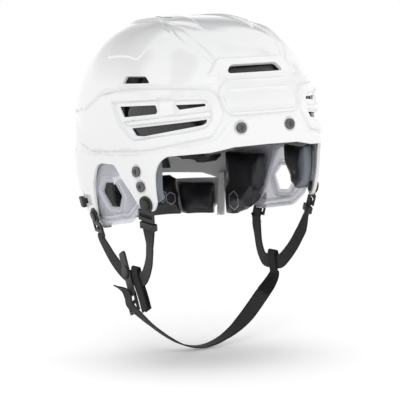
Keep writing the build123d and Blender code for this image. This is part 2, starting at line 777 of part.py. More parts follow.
def strap_clip(place, length):
    """Ring round the stud, a neck and a slot for the webbing."""
    slot_high = length - clip_bar
    slot_low = slot_high - clip_bar
    half_slot = web_width / 2 + web_gap
    half_frame = half_slot + clip_wall
    with BuildPart() as part:
        add(disc(place, ring_radius, clip_lift, clip_lift + clip_wall))
        neck = bar(
            place, (0, -neck_width / 2), (slot_low, neck_width / 2), clip_lift, clip_lift + clip_wall
        )
        add(neck)
        frame = bar(
            place, (slot_low - clip_bar, -half_frame), (length, half_frame), clip_lift, clip_lift + clip_wall
        )
        add(frame)
        add(bar(place, (slot_low, -half_slot), (slot_high, half_slot), 0, overrun), mode=Mode.SUBTRACT)
        add(disc(place, stud_radius + web_gap, 0, overrun), mode=Mode.SUBTRACT)
    return part


save_pair(stud(stud_seat, shell_wall), "front_strap_stud")
save_pair(stud(rivet_seat, guard_inner), "rear_strap_rivet")
save_pair(strap_clip(stud_seat, clip_length), "front_strap_clip")
save_pair(strap_clip(rivet_seat, hook_length), "rear_strap_hook")

# Side strap: one webbing from the front clip, through the yoke, up to the rear hook
web_height = clip_lift - web_gap - web / 2
keeper_start = clip_length + keeper_wall + 2 * part_gap
side_route_shares = (
    (-0.858, -0.46, -0.487), (-0.822, -0.449, -0.537), (-0.792, -0.405, -0.606), (-0.765, -0.32, -0.69),
    (-0.75, -0.23, -0.745), (-0.75, -0.122, -0.75), (-0.75, -0.014, -0.75), (-0.763, 0.09, -0.715),
    (-0.785, 0.184, -0.651), (-0.824, 0.244, -0.56), (-0.865, 0.252, -0.49),
)


def on_seat(place, along, height):
    """A place above a seat, at a distance along its x direction."""
    return place.from_local_coords(Vector(along, 0, height))


front_start = on_seat(stud_seat, clip_length - clip_lap, web_height)
front_next = on_seat(stud_seat, keeper_start + keeper_length, web_height)
front_last = on_seat(stud_seat, keeper_start + keeper_length + 2 * keeper_wall, web_height)
rear_start = on_seat(rivet_seat, hook_length - clip_lap, web_height)
rear_next = on_seat(rivet_seat, hook_length, web_height)
rear_last = on_seat(rivet_seat, hook_length + 2 * keeper_wall, web_height)
side_middle = places(side_route_shares)
side_route = [front_start, front_next, front_last, *side_middle, rear_last, rear_next, rear_start]


def width_ways(points, faces):
    """Width directions for webbing whose face looks the given way at each point."""
    directions = []
    for index, face in enumerate(faces):
        ahead = points[min(index + 1, len(points) - 1)] - points[max(index - 1, 0)]
        directions.append(ahead.cross(face).normalized())
    return directions


side_faces = [-stud_seat.z_dir] * 3 + [Vector(1, 0, 0)] * len(side_middle) + [-rivet_seat.z_dir] * 3

with BuildPart() as side_strap:
    add(ribbon(side_route, width_ways(side_route, side_faces), web_width, web))
save_pair(side_strap, "side_strap")

with BuildPart() as strap_keeper:
    half_wide = web_width / 2 + web_gap
    half_thick = web / 2 + web_gap
    keeper_plane = stud_seat.offset(web_height - half_thick - keeper_wall)
    keeper_end = keeper_start + keeper_length
    outer = half_wide + keeper_wall
    add(bar(keeper_plane, (keeper_start, -outer), (keeper_end, outer), 0, 2 * (half_thick + keeper_wall)))
    window = stud_seat.offset(web_height - half_thick)
    add(bar(window, (0, -half_wide), (far_side, half_wide), 0, 2 * half_thick), mode=Mode.SUBTRACT)
save_pair(strap_keeper, "strap_keeper")

# Yokes: webbing folded over the side strap and sewn to itself
yoke_x_share = 0.75
yoke_x = yoke_x_share * half_width
yoke_gap = web + 2 * web_gap
yoke_half = yoke_gap / 2 + web
yoke_slot_level_shares = (-0.81, -0.687)
yoke_right_shares = (
    (-0.01, -0.69), (-0.035, -0.667), (-0.19, -0.667), (-0.217, -0.7), (-0.235, -0.8), (-0.287, -0.94),
    (-0.2, -0.963), (-0.14, -0.82), (-0.025, -0.79),
)
yoke_left_shares = (
    (-0.05, -0.69), (-0.07, -0.667), (-0.19, -0.667), (-0.217, -0.7), (-0.205, -0.83), (-0.09, -0.83),
)


def yoke_loop(side, shares):
    """Folded webbing with the side strap's way through it."""
    inner_plane = Plane.YZ.offset(side * yoke_x - yoke_half)
    slot_low, slot_high = (share * crown_height for share in yoke_slot_level_shares)
    slot_plane = Plane.YZ.offset(side * yoke_x - yoke_gap / 2)
    with BuildPart() as part:
        add(prism(inner_plane, side_points(shares), 2 * yoke_half))
        slot = bar(slot_plane, (-far_side, slot_low), (far_side, slot_high), 0, yoke_gap)
        add(slot, mode=Mode.SUBTRACT)
    return part.part


with BuildPart() as yoke_right:
    add(yoke_loop(-1, yoke_right_shares))
save(yoke_right, "yoke_right")

left_tail_shares = (
    (0.75, -0.142, -0.82), (0.728, -0.145, -0.86), (0.68, -0.14, -0.91), (0.615, -0.136, -0.96),
)
left_tail_across = (
    Vector(0, -1, 0), Vector(0.2, -1, -0.1), Vector(0.4, -0.85, -0.3), Vector(0.55, -0.7, -0.45),
)
left_tail = places(left_tail_shares)

with BuildPart() as yoke_left:
    add(yoke_loop(1, yoke_left_shares))
    add(ribbon(left_tail, left_tail_across, web_width, 2 * web))
save(yoke_left, "yoke_left")

# Snap tab on the right: it closes the chin strap on the yoke's stud and peels off to open it
tab_face = -yoke_x - yoke_half - part_gap
tab_bottom = Vector(tab_face, *side_points(((-0.101, -0.866),))[0])
tab_top = Vector(tab_face, *side_points(((0.038, -0.584),))[0])
tab_way = (tab_top - tab_bottom).normalized()
tab_length = (tab_top - tab_bottom).length
tab_plane = Plane(origin=tab_bottom, x_dir=tab_way, z_dir=(-1, 0, 0))
snap_share = 0.54
snap_place = tab_bottom + tab_way * (snap_share * tab_length)
snap_plane = Plane(origin=snap_place, x_dir=tab_way, z_dir=(-1, 0, 0))
snap_room = snap_radius + part_gap + snap_ring

with BuildPart() as snap_stud:
    add(disc(snap_plane, snap_radius, -part_gap, snap_height - part_gap))
save(snap_stud, "snap_stud")

with BuildPart() as snap_tab:
    half = tab_width / 2
    add(bar(tab_plane, (0, -half), (tab_length, half), 0, tab_wall))
    fillet(snap_tab.edges().filter_by(Axis.X).group_by(Axis.Z)[-1], half / 2)
    add(disc(snap_plane, snap_room + hole_gap, -overrun, overrun), mode=Mode.SUBTRACT)
save(snap_tab, "snap_tab")

with BuildPart() as snap_socket:
    cap_start = tab_wall + part_gap
    add(disc(snap_plane, snap_room, hole_gap, cap_start))
    add(disc(snap_plane, snap_room + snap_cap, cap_start, cap_start + snap_cap))
    add(disc(snap_plane, snap_radius + part_gap, -overrun, cap_start), mode=Mode.SUBTRACT)
save(snap_socket, "snap_socket")

# Slider that the chin strap is drawn through
slider_way = Vector(0, -0.45, -0.89).normalized()
slider_middle = Vector(tab_face + part_gap, *side_points(((-0.061, -0.926),))[0])
slider_plane = Plane(origin=slider_middle, x_dir=slider_way, z_dir=(-1, 0, 0))

with BuildPart() as strap_slider:
    half = slider_size / 2
    add(bar(slider_plane, (-half, -half), (half, half), -slider_wall, 0))
    window_half = half - slider_edge
    for start in (-half + slider_bar, slider_bar / 2):
        end = start + half - slider_bar - slider_bar / 2
        window = bar(slider_plane, (start, -window_half), (end, window_half), -overrun, overrun)
        add(window, mode=Mode.SUBTRACT)
save(strap_slider, "strap_slider")

# Chin strap: from its loose end over the slider, under the chin, to the left yoke
chin_x = slider_middle.X + slider_wall + part_gap + web / 2
loose_side_shares = (
    (0.06, -0.853), (-0.007, -0.873), (-0.054, -0.916), (-0.097, -0.965), (-0.128, -1.012),
)
hanging_shares = (
    (-0.672, -0.135, -1.05), (-0.595, -0.135, -1.092), (-0.446, -0.135, -1.186), (-0.294, -0.135, -1.25),
    (-0.135, -0.135, -1.28), (0, -0.135, -1.274), (0.138, -0.135, -1.242), (0.272, -0.135, -1.191),
    (0.4, -0.135, -1.12), (0.5, -0.135, -1.049), (0.575, -0.136, -0.99),
)
loose_end = [Vector(chin_x, y, z) for y, z in side_points(loose_side_shares)]
chin_end = left_tail[-1] + (left_tail[-1] - left_tail[-2]).normalized() * part_gap
chin_route = [*loose_end, *places(hanging_shares), chin_end]
chin_across = [Vector(0, -0.25, 0.97), Vector(0, -0.7, 0.7)]
chin_across += [Vector(0, -0.89, 0.45), Vector(0, -0.91, 0.4), Vector(0, -0.95, 0.25)]
chin_across += [Vector(0, -1, 0)] * 5
chin_across += [Vector(0.05, -1, -0.05), Vector(0.2, -0.95, -0.25), Vector(0.45, -0.75, -0.5)]
chin_across += [Vector(0.65, -0.5, -0.6), Vector(0.66, -0.48, -0.58), Vector(0.6, -0.6, -0.5)]
chin_across += [left_tail_across[-1]]

with BuildPart() as chin_strap:
    add(ribbon(chin_route, chin_across, web_width, web))
save(chin_strap, "chin_strap")


def route_length(points):
    return sum((after - before).length for before, after in zip(points, points[1:]))


print("side strap", round(route_length(side_route)), "chin strap", round(route_length(chin_route)))
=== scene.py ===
"""Ice hockey helmet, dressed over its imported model: shell, ear guards, liner, cradle and straps.

Lengths in the sections are millimetres; the scene is in metres.
"""
import math

import bpy
import numpy as np
from mathutils import Matrix, Vector
from mathutils.geometry import delaunay_2d_cdt


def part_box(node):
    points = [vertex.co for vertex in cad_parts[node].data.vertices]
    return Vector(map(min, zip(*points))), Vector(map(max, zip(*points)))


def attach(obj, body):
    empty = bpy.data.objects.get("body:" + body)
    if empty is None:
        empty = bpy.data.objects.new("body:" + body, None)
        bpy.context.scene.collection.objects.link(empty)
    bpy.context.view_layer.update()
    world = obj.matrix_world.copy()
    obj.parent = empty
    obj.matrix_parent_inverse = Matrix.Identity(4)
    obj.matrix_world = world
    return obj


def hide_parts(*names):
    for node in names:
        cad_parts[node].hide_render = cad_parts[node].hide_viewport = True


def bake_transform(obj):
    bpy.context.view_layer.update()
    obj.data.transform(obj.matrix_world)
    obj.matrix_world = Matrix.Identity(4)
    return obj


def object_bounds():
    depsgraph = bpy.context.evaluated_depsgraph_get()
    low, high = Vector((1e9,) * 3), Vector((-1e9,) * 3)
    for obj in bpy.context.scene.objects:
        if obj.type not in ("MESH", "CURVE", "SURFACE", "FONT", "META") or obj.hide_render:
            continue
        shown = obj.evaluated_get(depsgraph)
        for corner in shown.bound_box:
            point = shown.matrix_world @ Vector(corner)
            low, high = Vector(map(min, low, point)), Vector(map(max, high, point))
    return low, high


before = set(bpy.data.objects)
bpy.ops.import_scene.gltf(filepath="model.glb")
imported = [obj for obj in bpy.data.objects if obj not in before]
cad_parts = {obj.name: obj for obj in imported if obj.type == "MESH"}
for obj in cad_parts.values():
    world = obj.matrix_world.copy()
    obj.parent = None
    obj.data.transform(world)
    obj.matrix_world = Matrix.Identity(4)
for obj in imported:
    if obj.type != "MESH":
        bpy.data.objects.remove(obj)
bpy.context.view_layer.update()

# Camera: a long lens a little above the brim, 29 degrees round to the wearer's right.
# It is turned to put the helmet's origin where the photograph has it, so it needs no shift.
def placed(name, data):
    """A new object of the scene."""
    item = bpy.data.objects.new(name, data)
    bpy.context.scene.collection.objects.link(item)
    return item


azimuth, elevation, roll = (math.radians(angle) for angle in (-29.0, 5.0, 2.5))
eye_distance = 1.7
pixels_per_metre = 967.0
picture_size = 400
origin_pixel = (193.3, 160.6)
back = Vector(
    (math.sin(azimuth) * math.cos(elevation), -math.cos(azimuth) * math.cos(elevation), math.sin(elevation))
)
level_right = Vector((math.cos(azimuth), math.sin(azimuth), 0))
level_up = back.cross(level_right)
right = level_right * math.cos(roll) - level_up * math.sin(roll)
up = level_up * math.cos(roll) + level_right * math.sin(roll)
aside, above = ((picture_size / 2 - pixel) / pixels_per_metre for pixel in origin_pixel)
aim = right * aside - up * above
eye = back * eye_distance
sight = (eye - aim).normalized()
side = up.cross(sight).normalized()
over = sight.cross(side)
camera_data = bpy.data.cameras.new("camera")
camera_data.sensor_width = 36.0
camera_data.lens = camera_data.sensor_width * pixels_per_metre * eye_distance / picture_size
camera_data.clip_start = 0.1
camera_data.clip_end = 40.0
camera = placed("camera", camera_data)
camera.matrix_world = Matrix.Translation(eye) @ Matrix((side, over, sight)).transposed().to_4x4()
bpy.context.scene.camera = camera
bpy.context.scene.view_settings.view_transform = "Standard"


# Materials: every finish is a tree of nodes, and the pieces' finishes end in one surface shader.
# A socket wrapped in Value takes part in sums, and each sum adds its Math node.
class Value:
    """A node's output, for sums."""

    def __init__(self, finish, socket):
        self.finish = finish
        self.socket = socket

    def __add__(self, other):
        return self.finish.math("ADD", self, other)

    def __sub__(self, other):
        return self.finish.math("SUBTRACT", self, other)

    def __rsub__(self, other):
        return self.finish.math("SUBTRACT", other, self)

    def __mul__(self, other):
        return self.finish.math("MULTIPLY", self, other)

    def __truediv__(self, other):
        return self.finish.math("DIVIDE", self, other)

    __radd__ = __add__
    __rmul__ = __mul__


class Finish:
    """A material, or the world's light, and its nodes."""

    def __init__(self, name, kind="materials"):
        self.owner = getattr(bpy.data, kind).new(name)
        self.owner.use_nodes = True
        self.tree = self.owner.node_tree
        self.tree.nodes.clear()

    def node(self, kind, sockets=None, out=0, **settings):
        """Adds a node: its settings first, then the values or links of its sockets."""
        node = self.tree.nodes.new("ShaderNode" + kind)
        for name, value in settings.items():
            setattr(node, name, value)
        for name, value in (sockets or {}).items():
            socket = node.inputs[name]
            if isinstance(value, Value):
                self.tree.links.new(value.socket, socket)
            elif socket.type == "RGBA":
                socket.default_value = (*value, 1.0)
            else:
                socket.default_value = value
        return Value(self, node.outputs[out]) if node.outputs else None

    def math(self, operation, first, second=0.5, clamp=False):
        return self.node("Math", {0: first, 1: second}, operation=operation, use_clamp=clamp)

    def mix(self, factor, first, second):
        """A colour between two colours."""
        return self.node("Mix", {0: factor, 6: first, 7: second}, out=2, data_type="RGBA")

    def ramp(self, factor, *stops):
        """A colour that changes through stops, each a place and its colour."""
        made = self.node("ValToRGB", {0: factor})
        elements = made.socket.node.color_ramp.elements
        while len(elements) < len(stops):
            elements.new(1.0)
        for element, (place, colour) in zip(elements, stops):
            element.position = place
            element.color = (*colour, 1.0)
        return made

    def fade(self, factor, start, end):
        """Black up to the start and white from the end on."""
        return self.ramp(factor, (start, (0, 0, 0)), (end, (1, 1, 1)))

    def part(self, vector, axis):
        return self.node("SeparateXYZ", {0: vector}, out=axis)

    def attribute(self, name, out="Fac"):
        return self.node("Attribute", out=out, attribute_name=name)

    def object_place(self):
        return self.node("TexCoord", out="Object")

    def noise(self, scale, detail=2.0, roughness=0.5, place=None):
        sockets = {"Vector": place or self.object_place()}
        sockets.update(Scale=scale, Detail=detail, Roughness=roughness)
        return self.node("TexNoise", sockets)

    def surface(self, bump=None, bump_strength=0.3, bump_distance=0.0004, **sockets):
        """The surface shader; bump is a height that feeds its normal."""
        named = {name.replace("_", " "): value for name, value in sockets.items()}
        if bump is not None:
            heights = {"Height": bump, "Strength": bump_strength, "Distance": bump_distance}
            named["Normal"] = self.node("Bump", heights)
        return self.finish(self.node("BsdfPrincipled", named))

    def finish(self, shader):
        self.node("OutputMaterial", {"Surface": shader})
        return self.owner


# Floor and light: a white sweep that shows white to the camera and keeps a soft shadow.
# Three wide soft lamps stand ahead, to the wearer's left and behind, under a sky that is darker overhead.
floor_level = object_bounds()[0].z - 0.002
floor_reach = 9.0
floor_corners = [(-floor_reach, -floor_reach), (floor_reach, -floor_reach)]
floor_corners += [(floor_reach, floor_reach), (-floor_reach, floor_reach)]
floor_data = bpy.data.meshes.new("floor")
floor_data.from_pydata([(x, y, floor_level) for x, y in floor_corners], [], [(0, 1, 2, 3)])
floor = placed("floor", floor_data)
floor_lift = 0.36
white = Finish("white_floor")
seen = white.node("LightPath", out="Is Camera Ray")
matt = white.node("BsdfDiffuse", {"Color": (0.86, 0.86, 0.86)})
lift = white.node("Emission", {"Color": (1.0, 1.0, 1.0), "Strength": seen * floor_lift})
near_floor = white.node("AddShader", {0: matt, 1: lift})
# The shade under the helmet is a painted shadow: one soft oval that darkens the floor as the camera sees it,
# a little ahead of its middle
shade_x, shade_y = -0.031, -0.056
shade_cosine, shade_sine = 0.875, 0.485
shade_length, shade_breadth = 0.098, 0.075
shade_strength = 0.36
floor_place = white.object_place()
east = white.part(floor_place, "X") - shade_x
north = white.part(floor_place, "Y") - shade_y
across = (east * shade_cosine - north * shade_sine) / shade_length
depth = (east * shade_sine + north * shade_cosine) / shade_breadth
oval = white.math("POWER", math.e, 0.0 - (across * across + depth * depth))
shade = white.node("Emission", {"Color": (0.0, 0.0, 0.0), "Strength": 0.0})
near_floor = white.node("MixShader", {0: oval * seen * shade_strength, 1: near_floor, 2: shade})
blank = white.node("Emission", {"Color": (1.0, 1.0, 1.0), "Strength": 1.0})
from_origin = white.node("VectorMath", {0: white.object_place()}, out="Value", operation="LENGTH")
far = white.fade(from_origin, 0.28, 0.62)
floor_data.materials.append(white.finish(white.node("MixShader", {0: far, 1: near_floor, 2: blank})))

sky = Finish("studio", "worlds")
bpy.context.scene.world = sky.owner
sky_way = sky.node("TexCoord", out="Generated")
height = sky.part(sky_way, "Z") * 0.5 + 0.5
glow = sky.ramp(
    height,
    (0.0, (0.95, 0.95, 0.95)), (0.55, (1.0, 1.0, 1.0)), (0.72, (0.9, 0.9, 0.9)), (0.86, (0.5, 0.5, 0.51)),
    (1.0, (0.42, 0.42, 0.43)),
)
path_seen, path_clear, path_gloss = (
    sky.node("LightPath", out=f"Is {kind} Ray") for kind in ("Camera", "Transmission", "Glossy")
)
drapes = sky.fade(sky.noise(1.7, 1.0, 0.4, sky_way), 0.44, 0.53)
overhead = sky.fade(height, 0.6, 0.74)
mirrored = sky.mix(drapes * overhead, (1.0, 1.0, 1.0), (0.1, 0.1, 0.105))
lit = sky.node("Background", {"Color": sky.mix(path_gloss, glow, mirrored), "Strength": 1.08})
plain = sky.node("Background", {"Color": (1.0, 1.0, 1.0), "Strength": 1.0})
shown = sky.math("MAXIMUM", path_seen, path_clear)
sky.node("OutputWorld", {"Surface": sky.node("MixShader", {0: shown, 1: lit, 2: plain})})

for name, place, size, power in (
    ("key_lamp", (-0.9, -1.5, 1.5), (1.3, 1.0), 9.0),
    ("fill_lamp", (1.6, -1.1, 0.8), (1.0, 1.2), 4.0),
    ("rear_lamp", (0.3, 1.7, 1.4), (1.4, 1.0), 5.0),
):
    lamp_data = bpy.data.lights.new(name, "AREA")
    lamp_data.shape = "RECTANGLE"
    lamp_data.size, lamp_data.size_y = size
    lamp_data.energy = power
    lamp = placed(name, lamp_data)
    lamp.location = place
    lamp.rotation_mode = "QUATERNION"
    lamp.rotation_quaternion = Vector(place).to_track_quat("Z", "Y")
    lamp.visible_glossy = False

# Outer shell: one moulding of glossy white plastic, about 2.4 mm thick, with raised pods, a forehead
# plate, crown ridges and open vents. It is cut as a fine net of triangles on the dome, whose lines
# follow every edge, and each point is then lifted by the panels that it lies on.
half_width, front_reach, rear_reach, crown_height, skirt_depth = 108.0, 148.0, 133.0, 149.0, 82.0
plan_power, dome_power, skirt_power, skirt_taper = 2.6, 2.7, 1.6, 0.165
shell_wall = 2.4
skirt_scale = 200.0


def spread(level):
    """Share of its widest radius that the dome has at a level."""
    above = np.clip(level / crown_height, 0, 1)
    below = np.clip(-level / skirt_depth, 0, 1.3)
    return (1 - above**dome_power) ** (1 / dome_power) * (1 - skirt_taper * below**skirt_power)


def reach_of(y):
    """How far the plan reaches, to the front or to the rear."""
    return np.where(np.asarray(y) < 0, front_reach, rear_reach)


def plan_sum(x, y, share=1):
    """1 on the plan's outline at a share of its size, and less inside it."""
    across, along = np.abs(x) / (half_width * share), np.abs(y) / (reach_of(y) * share)
    return across**plan_power + along**plan_power


def dome_place(disc):
    """Places on the dome for points of a flat disc: its centre is the crown, and its rim the lower edge."""
    turn = np.arctan2(disc[:, 0], -disc[:, 1])
    out = np.hypot(disc[:, 0], disc[:, 1])
    angle = np.clip(1 - out, 0, 1) * math.pi / 2
    cosine, sine = np.cos(angle), np.sin(angle)
    ray = (cosine**dome_power + sine**dome_power) ** (-1 / dome_power)
    level = np.where(out < 1, crown_height * ray * sine, (1 - out) * skirt_scale)
    share = np.where(out < 1, ray * cosine, spread(level))
    x, y = np.sin(turn), -np.cos(turn)
    radius = plan_sum(x, y) ** (-1 / plan_power)
    return np.stack([share * radius * x, share * radius * y, level], 1)


def disc_place(points):
    """Points of the flat disc for places on the dome."""
    turn = np.arctan2(points[:, 0], -points[:, 1])
    level = points[:, 2]
    angle = np.arctan2(np.clip(level, 0, crown_height) / crown_height, spread(np.maximum(level, 0)))
    out = np.where(level > 0, 1 - angle / (math.pi / 2), 1 - level / skirt_scale)
    return np.stack([np.sin(turn) * out, -np.cos(turn) * out], 1)


def left_over(share):
    """Share of the plan's half-width or reach that is left at a share of the other."""
    return np.clip(1 - share**plan_power, 0, 1) ** (1 / plan_power)


def half_at(y, level):
    """Half-width of the dome at places in its side view."""
    share = spread(np.asarray(level, float))
    return share * half_width * left_over(np.abs(y) / (share * reach_of(y)))


def reach_at(x, level, length):
    """How far the dome reaches to the front or the rear."""
    share = spread(np.asarray(level, float))
    return share * length * left_over(np.abs(x) / (share * half_width))


def view_axes(heading):
    """Sideways and outward directions of an upright view: 0 from ahead, 90 from the wearer's right."""
    turn = math.radians(heading)
    return np.array([math.cos(turn), -math.sin(turn), 0]), np.array([-math.sin(turn), -math.cos(turn), 0])


def seen_from(points, heading):
    """Places as a view shows them; "plan" is the view from above. Also whether they face it."""
    if heading == "plan":
        return points[:, :2], np.ones(len(points), bool)
    sideways, outward = view_axes(heading)
    return np.stack([points @ sideways, points[:, 2]], 1), points @ outward > 0


def onto_dome(outline, heading):
    """Places on the dome that a view shows at the points of an outline."""
    if heading == "plan":
        x, y = outline.T
        share = plan_sum(x, y) ** (1 / plan_power)
        level = crown_height * np.clip(1 - share**dome_power, 0, 1) ** (1 / dome_power)
        return np.stack([x, y, level], 1)
    sideways, outward = view_axes(heading)
    low, high = np.zeros(len(outline)), np.full(len(outline), 260.0)
    share = spread(outline[:, 1])
    for _ in range(40):
        middle = (low + high) / 2
        points = outline[:, :1] * sideways + middle[:, None] * outward
        within = plan_sum(points[:, 0], points[:, 1], share) < 1
        low, high = np.where(within, middle, low), np.where(within, high, middle)
    points = outline[:, :1] * sideways + low[:, None] * outward
    points[:, 2] = outline[:, 1]
    return points


def in_view(heading, shares):
    """An outline in shares of the half-width and the crown's height, or of the reach in the plan."""
    points = np.array(shares, float)
    if heading == "plan":
        return np.stack([points[:, 0] * half_width, points[:, 1] * reach_of(points[:, 1])], 1)
    return points * (half_width, crown_height)


def side_outline(shares):
    """An outline of the side view in millimetres, with the front to the right."""
    return np.array([(-y * reach_of(y), z * crown_height) for y, z in shares])


def rounded(outline, radius, closed=True):
    """The outline with its corners rounded, in short steps."""
    made = []
    count = len(outline)
    for index in range(count):
        before, corner, after = outline[index - 1], outline[index], outline[(index + 1) % count]
        if not closed and index in (0, count - 1):
            made.append(corner)
            continue
        back_way, on_way = before - corner, after - corner
        back_length, on_length = np.linalg.norm(back_way), np.linalg.norm(on_way)
        cut = min(radius, 0.45 * back_length, 0.45 * on_length)
        start, end = corner + back_way / back_length * cut, corner + on_way / on_length * cut
        for step in np.linspace(0, 1, 6):
            made.append((1 - step) ** 2 * start + 2 * step * (1 - step) * corner + step**2 * end)
    return np.array(made)


def stepped(line, step, closed=True):
    """The line again, with points a step apart."""
    ends = np.roll(line, -1, 0) if closed else line[1:]
    starts = line if closed else line[:-1]
    made = []
    for start, end in zip(starts, ends):
        pieces = max(1, int(round(np.linalg.norm(end - start) / step)))
        made += [start + (end - start) * share for share in np.arange(pieces) / pieces]
    if not closed:
        made.append(line[-1])
    made = np.array(made)
    keep = [0]
    for index in range(1, len(made)):
        if np.linalg.norm(made[index] - made[keep[-1]]) > step * 0.45:
            keep.append(index)
    return made[keep]


def depth_inside(points, outline, closed=True):
    """Distance inside the outline, and less than nothing outside it."""
    nearest = np.full(len(points), 1e9)
    within = np.zeros(len(points), bool)
    ends = np.roll(outline, -1, 0) if closed else outline[1:]
    for (x0, y0), (x1, y1) in zip(outline, ends):
        run = np.array([x1 - x0, y1 - y0])
        offset = points - (x0, y0)
        share = np.clip(offset @ run / max(run @ run, 1e-12), 0, 1)
        nearest = np.minimum(nearest, ((offset - share[:, None] * run) ** 2).sum(1))
        if y0 != y1:
            crosses = (y0 > points[:, 1]) != (y1 > points[:, 1])
            within ^= crosses & (points[:, 0] < (x1 - x0) * (points[:, 1] - y0) / (y1 - y0) + x0)
    return np.sqrt(nearest) * np.where(within, 1, -1)


def eased(rise, share):
    """A smooth step up to the rise."""
    share = np.clip(share, 0, 1)
    return rise * share * share * (3 - 2 * share)


def rise_of(points, panels, grooves):
    """Height of the surface over the dome, from its panels and grooves; both sides are alike."""
    halves = points.copy()
    halves[:, 0] = -np.abs(halves[:, 0])
    total = np.zeros(len(points))
    for heading, outline, rise, width in panels:
        places, faces = seen_from(halves, heading)
        near = faces & (places > outline.min(0) - 1).all(1) & (places < outline.max(0) + 1).all(1)
        total[near] += eased(rise, depth_inside(places[near], outline) / width)
    for heading, line, rise, width in grooves:
        places, faces = seen_from(halves, heading)
        near = faces & (places > line.min(0) - width).all(1) & (places < line.max(0) + width).all(1)
        total[near] += eased(rise, 1 - np.abs(depth_inside(places[near], line, closed=False)) / width)
    return total


def square_to(surface, disc, step):
    """Directions square to a surface, from its places a step away on the disc."""
    east, north = (surface(disc + way) - surface(disc - way) for way in np.eye(2) * step)
    out = np.cross(east, north)
    return out / np.linalg.norm(out, axis=1)[:, None]


def lifted(disc, panels, grooves, inset):
    """Places of the finished surface."""
    base = dome_place(disc)
    return base + square_to(dome_place, disc, 2e-4) * (rise_of(base, panels, grooves) - inset)[:, None]


def facing_out(disc, panels, grooves, inset):
    """Directions that the finished surface faces."""
    return square_to(lambda points: lifted(points, panels, grooves, inset), disc, 1.5e-3)


def beside(line, distance):
    """A closed line moved sideways; its inside is on its left or right as it runs."""
    ahead = np.roll(line, -1, 0) - np.roll(line, 1, 0)
    ahead /= np.maximum(np.linalg.norm(ahead, axis=1), 1e-9)[:, None]
    area = np.sum(line[:, 0] * np.roll(line[:, 1], -1) - np.roll(line[:, 0], -1) * line[:, 1])
    normal = np.stack([-ahead[:, 1], ahead[:, 0]], 1) * np.sign(area)
    moved = line + normal * distance
    true = np.abs(depth_inside(moved, line) - distance) < 0.2 + 0.1 * abs(distance)
    return moved[true]


def both_ways(points):
    """Places on the wearer's right, and their mirror images."""
    return [points, points * (-1, 1, 1)]


def net(rim, holes, panels, grooves, spacing, limit):
    """Triangles on the flat disc within a rim and round the holes, with lines along every panel's edge."""
    line_step = 2.4
    points, edges = [], []
    for loop in (rim, *holes):
        start = len(points)
        points += loop.tolist()
        edges += [(start + index, start + (index + 1) % len(loop)) for index in range(len(loop))]
    lines = []
    for heading, outline, _, width in panels:
        for distance in (-0.5, 0.0, width * 0.3, width * 0.5, width * 0.7, width, width + 0.5):
            lines.append((heading, beside(stepped(outline, line_step), distance)))
    for heading, line, _, width in grooves:
        line = stepped(line, line_step, closed=False)
        ahead = np.gradient(line, axis=0)
        normal = np.stack([-ahead[:, 1], ahead[:, 0]], 1) / np.linalg.norm(ahead, axis=1)[:, None]
        for distance in np.array((-1, -0.6, -0.3, 0, 0.3, 0.6, 1)) * width:
            lines.append((heading, line + normal * distance))
    fixed = [np.array(points)]
    for heading, line in lines:
        if len(line) == 0:
            continue
        places = onto_dome(line, heading)
        _, faces = seen_from(places, heading)
        places = places[faces & (places[:, 0] < 0.3) & np.isfinite(places).all(1)]
        fixed += [disc_place(twin) for twin in both_ways(places)]
    steps = np.arange(-limit, limit, spacing)
    rows = np.arange(-limit, limit, spacing * 0.866)
    grid = np.array([(x + (row % 2) * spacing / 2, y) for row, y in enumerate(rows) for x in steps])
    everything = np.concatenate([*fixed, grid])
    cell = spacing * 0.13
    boundary = len(points)
    taken = {}
    kept = list(range(boundary))
    inside = depth_inside(everything, rim)
    for hole in holes:
        inside = np.minimum(inside, -depth_inside(everything, hole))
    order = [index for index in range(boundary, len(everything)) if inside[index] > spacing * 0.12]
    grid_start = len(everything) - len(grid)
    for index in range(boundary):
        taken.setdefault(tuple(np.floor(everything[index] / cell).astype(int)), []).append(index)
    for index in order:
        x, y = np.floor(everything[index] / cell).astype(int)
        room = 3 if index >= grid_start else 1
        near = [
            other
            for across in range(x - room, x + room + 1)
            for along in range(y - room, y + room + 1)
            for other in taken.get((across, along), ())
        ]
        gap = cell * (3.0 if index >= grid_start else 0.9)
        if any(np.hypot(*(everything[index] - everything[other])) < gap for other in near):
            continue
        taken.setdefault((x, y), []).append(index)
        kept.append(index)
    chosen = everything[kept]
    made = delaunay_2d_cdt([Vector(point) for point in chosen], edges, [], 0, 1e-7)
    corners = np.array([tuple(point) for point in made[0]])
    faces = np.array([face for face in made[2] if len(face) == 3])
    centres = corners[faces].mean(1)
    solid = depth_inside(centres, rim) > 0
    for hole in holes:
        solid &= depth_inside(centres, hole) < 0
    faces = faces[solid]
    first, second, third = (corners[faces[:, index]] for index in range(3))
    run, rise = second - first, third - first
    turned = run[:, 0] * rise[:, 1] - run[:, 1] * rise[:, 0] < 0
    faces[turned] = faces[turned][:, ::-1]
    used, faces = np.unique(faces, return_inverse=True)
    return corners[used], faces.reshape(-1, 3)


def ring_faces(rows, count, capped=False):
    """Quads between rows of points that each go once round a section, and its two ends."""
    faces = []
    for row in range(rows - 1):
        for index in range(count):
            here, after = row * count + index, row * count + (index + 1) % count
            faces.append((here, after, after + count, here + count))
    if capped:
        faces += [tuple(reversed(range(count))), tuple(range((rows - 1) * count, rows * count))]
    return faces


